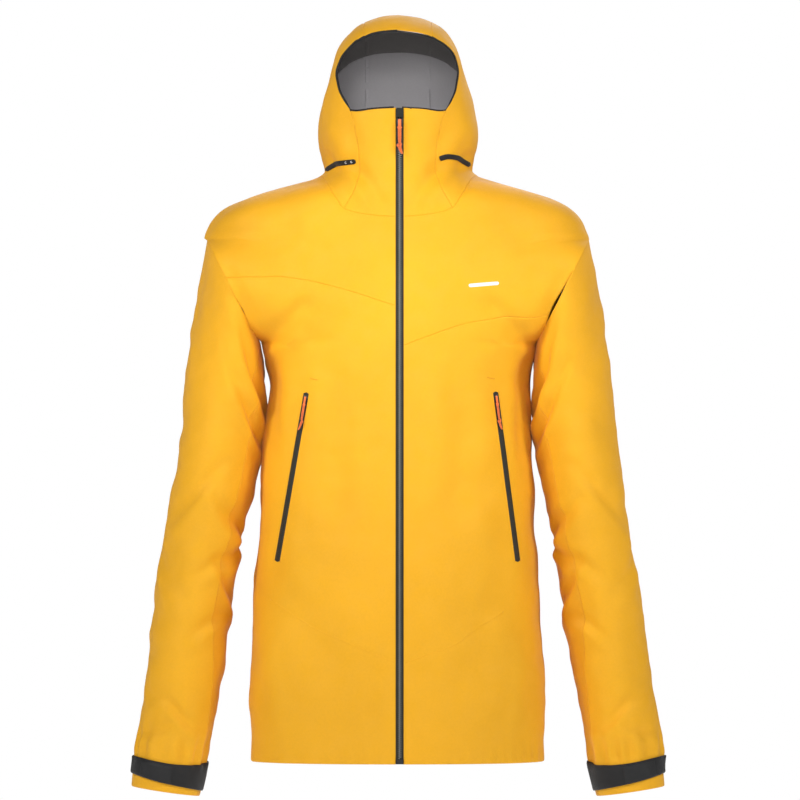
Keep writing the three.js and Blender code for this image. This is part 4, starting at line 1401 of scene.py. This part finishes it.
def build_lock_piece(name, profile, key, body, node):
    """A turned part: a profile spun about the upright axis of a node's box."""
    bm = bmesh.new()
    verts = [bm.verts.new((r * MM, 0, h * MM)) for r, h in profile]
    edges = [bm.edges.new(pair) for pair in zip(verts, verts[1:])]
    bmesh.ops.spin(bm, geom=verts + edges, cent=(0, 0, 0), axis=(0, 0, 1), steps=28,
                   angle=2 * math.pi, use_merge=True)
    bmesh.ops.remove_doubles(bm, verts=bm.verts, dist=1e-6)
    bmesh.ops.recalc_face_normals(bm, faces=bm.faces)
    lo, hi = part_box(node)
    middle = (lo + hi) / 2
    bmesh.ops.translate(bm, verts=bm.verts, vec=(middle.x, middle.y, lo.z))
    stands_for(finish_mesh(name, bm, material(key)), body, [node])


def build_hanger():
    wall = NAPE_Y + 1.8
    line = [(-28, wall - 2.4), (-22, wall - 2.6), (-16, wall - 6.3), (0, wall - 9.0),
            (16, wall - 6.3), (22, wall - 2.6), (28, wall - 2.4)]
    points, _, _ = walk(line, 1.0)
    heights = np.linspace(-9, -1, 9)
    grid = np.stack(np.broadcast_arrays(points[None, :, 0], points[None, :, 1],
                                        heights[:, None]), -1)
    loop = cloth_piece("hanger_loop_strap", [grid], "dark", 0.0011)
    stands_for(loop, "shell", ["hanger_loop"])


# ---- plain mark ---------------------------------------------------------------------------------
def build_marks():
    """A plain bonded bar on the chest."""
    strip_piece("chest_bar", [[(84, -134), (120, -131)]], 4.2, FLAT_TOP, material("pale"),
                "shell", "grey_lining", round_ends=2.0, step=0.8, raise_by=-0.55)


# ---- stage -----------------------------------------------------------------------------------
CAMERA_REACH = 12.0
FRAME_WIDTH = 0.96
VIEW_Z = -0.270
VIEW_X = 0.0024
SKY_LIGHT = 0.1
FLOOR_GLOW = 0.3
FLOOR_Z = -1.15
# name, place, size and power of each area lamp, which faces the jacket's middle
LAMPS = (("left", (-1.9, -1.7, 1.1), 0.5, 40), ("right", (1.9, -1.7, 1.1), 0.5, 38),
         ("front", (-0.1, -3.0, 0.3), 0.6, 13), ("rear", (0.4, 2.6, 1.2), 2.0, 50))
CHEST_LAMP = (-0.1, -1.7, 0.3)
CHEST_POWER = 58
CHEST_CONE = 26
CHEST_AIM = (0, -NAPE_Y * MM - 0.12, -0.13)


def add_lamp(name, kind, place, target, **settings):
    """A lamp that faces a target."""
    light = bpy.data.lights.new(name, kind)
    for key, value in settings.items():
        setattr(light, key, value)
    lamp = bpy.data.objects.new(name, light)
    lamp.location = place
    aim = Vector(target) - Vector(place)
    lamp.rotation_euler = aim.to_track_quat("-Z", "Y").to_euler()
    bpy.context.scene.collection.objects.link(lamp)


def build_stage():
    scene = bpy.context.scene
    scene.view_settings.view_transform = "Standard"
    middle_y = -NAPE_Y * MM
    camera = bpy.data.objects.new("Camera", bpy.data.cameras.new("Camera"))
    scene.collection.objects.link(camera)
    camera.data.sensor_width = 36
    camera.data.lens = 36 * CAMERA_REACH / FRAME_WIDTH
    camera.location = (VIEW_X, middle_y - CAMERA_REACH, VIEW_Z)
    camera.rotation_euler = (math.radians(90), 0, 0)
    scene.camera = camera

    bm = bmesh.new()
    bmesh.ops.create_grid(bm, x_segments=8, y_segments=8, size=9)
    bmesh.ops.translate(bm, verts=bm.verts, vec=(0, 0, FLOOR_Z))
    n = Nodes("pale_floor")
    n.set(colour=n.mix(n.noise(3.0), (0.93, 0.93, 0.93, 1), (0.97, 0.97, 0.97, 1)),
          roughness=0.9)
    n.shader.inputs["Emission Color"].default_value = (1, 1, 1, 1)
    n.shader.inputs["Emission Strength"].default_value = FLOOR_GLOW
    floor = finish_mesh("floor", bm, n.material)

    world = bpy.data.worlds.new("Studio")
    world.use_nodes = True
    tree = world.node_tree
    sky = tree.nodes["Background"]
    sky.inputs["Color"].default_value = (1, 1, 1, 1)
    seen = tree.nodes.new("ShaderNodeLightPath")
    level = tree.nodes.new("ShaderNodeMapRange")
    level.inputs["To Min"].default_value = SKY_LIGHT
    level.inputs["To Max"].default_value = 1.0
    tree.links.new(seen.outputs["Is Camera Ray"], level.inputs["Value"])
    tree.links.new(level.outputs[0], sky.inputs["Strength"])
    scene.world = world

    for name, place, size, power in LAMPS:
        add_lamp(name, "AREA", place, (0, middle_y, VIEW_Z), size=size, energy=power)
    add_lamp("chest", "SPOT", CHEST_LAMP, CHEST_AIM, energy=CHEST_POWER, spot_blend=1.0,
             spot_size=math.radians(CHEST_CONE), shadow_soft_size=0.25)


# ---- operators and panel -------------------------------------------------------------------------
def operator(name, label, words, build):
    """An operator class that builds one group of pieces."""
    def execute(self, context):
        build()
        return {"FINISHED"}
    return type(f"JACKET_OT_{name}", (bpy.types.Operator,), {
        "bl_idname": f"jacket.{name}", "bl_label": label, "__doc__": words, "execute": execute,
    })


OPERATORS = [
    operator("stage", "Stage", "Adds the camera, floor and lights", build_stage),
    operator("body", "Body", "Builds the fronts, yokes and back", build_body),
    operator("hood", "Hood", "Builds the hood, collar, linings and adjusters", build_hood),
    operator("sleeves", "Sleeves", "Builds the sleeves, cuff patches and tabs", build_sleeves),
    operator("main_zip", "Main zip", "Builds the long zip, its slider and pull", build_main_zip),
    operator("pocket_zips", "Pocket zips", "Builds both pocket zips", build_pocket_zips),
    operator("inside", "Inside and hem", "Builds the hem facing, drawcord, flap, bags and loop",
             build_inside),
    operator("marks", "Bonded bars", "Builds the plain bonded bar", build_marks),
]


class JACKET_PT_panel(bpy.types.Panel):
    """Lists the jacket's settings and pieces."""
    bl_label = "Hardshell jacket"
    bl_space_type = "VIEW_3D"
    bl_region_type = "UI"
    bl_category = "Jacket"

    def draw(self, context):
        for group in (context.scene.jacket_sizes, context.scene.jacket_colours):
            for name in group.__annotations__:
                self.layout.prop(group, name)
        for cls in OPERATORS:
            self.layout.operator(cls.bl_idname)


CLASSES = [JacketColours, JacketSizes, *OPERATORS, JACKET_PT_panel]


def register():
    for cls in CLASSES:
        bpy.utils.register_class(cls)
    bpy.types.Scene.jacket_colours = PointerProperty(type=JacketColours)
    bpy.types.Scene.jacket_sizes = PointerProperty(type=JacketSizes)


def unregister():
    del bpy.types.Scene.jacket_sizes
    del bpy.types.Scene.jacket_colours
    for cls in reversed(CLASSES):
        bpy.utils.unregister_class(cls)


def main():
    register()
    for cls in OPERATORS:
        group, name = cls.bl_idname.split(".")
        getattr(getattr(bpy.ops, group), name)()


if __name__ == "__main__":
    main()
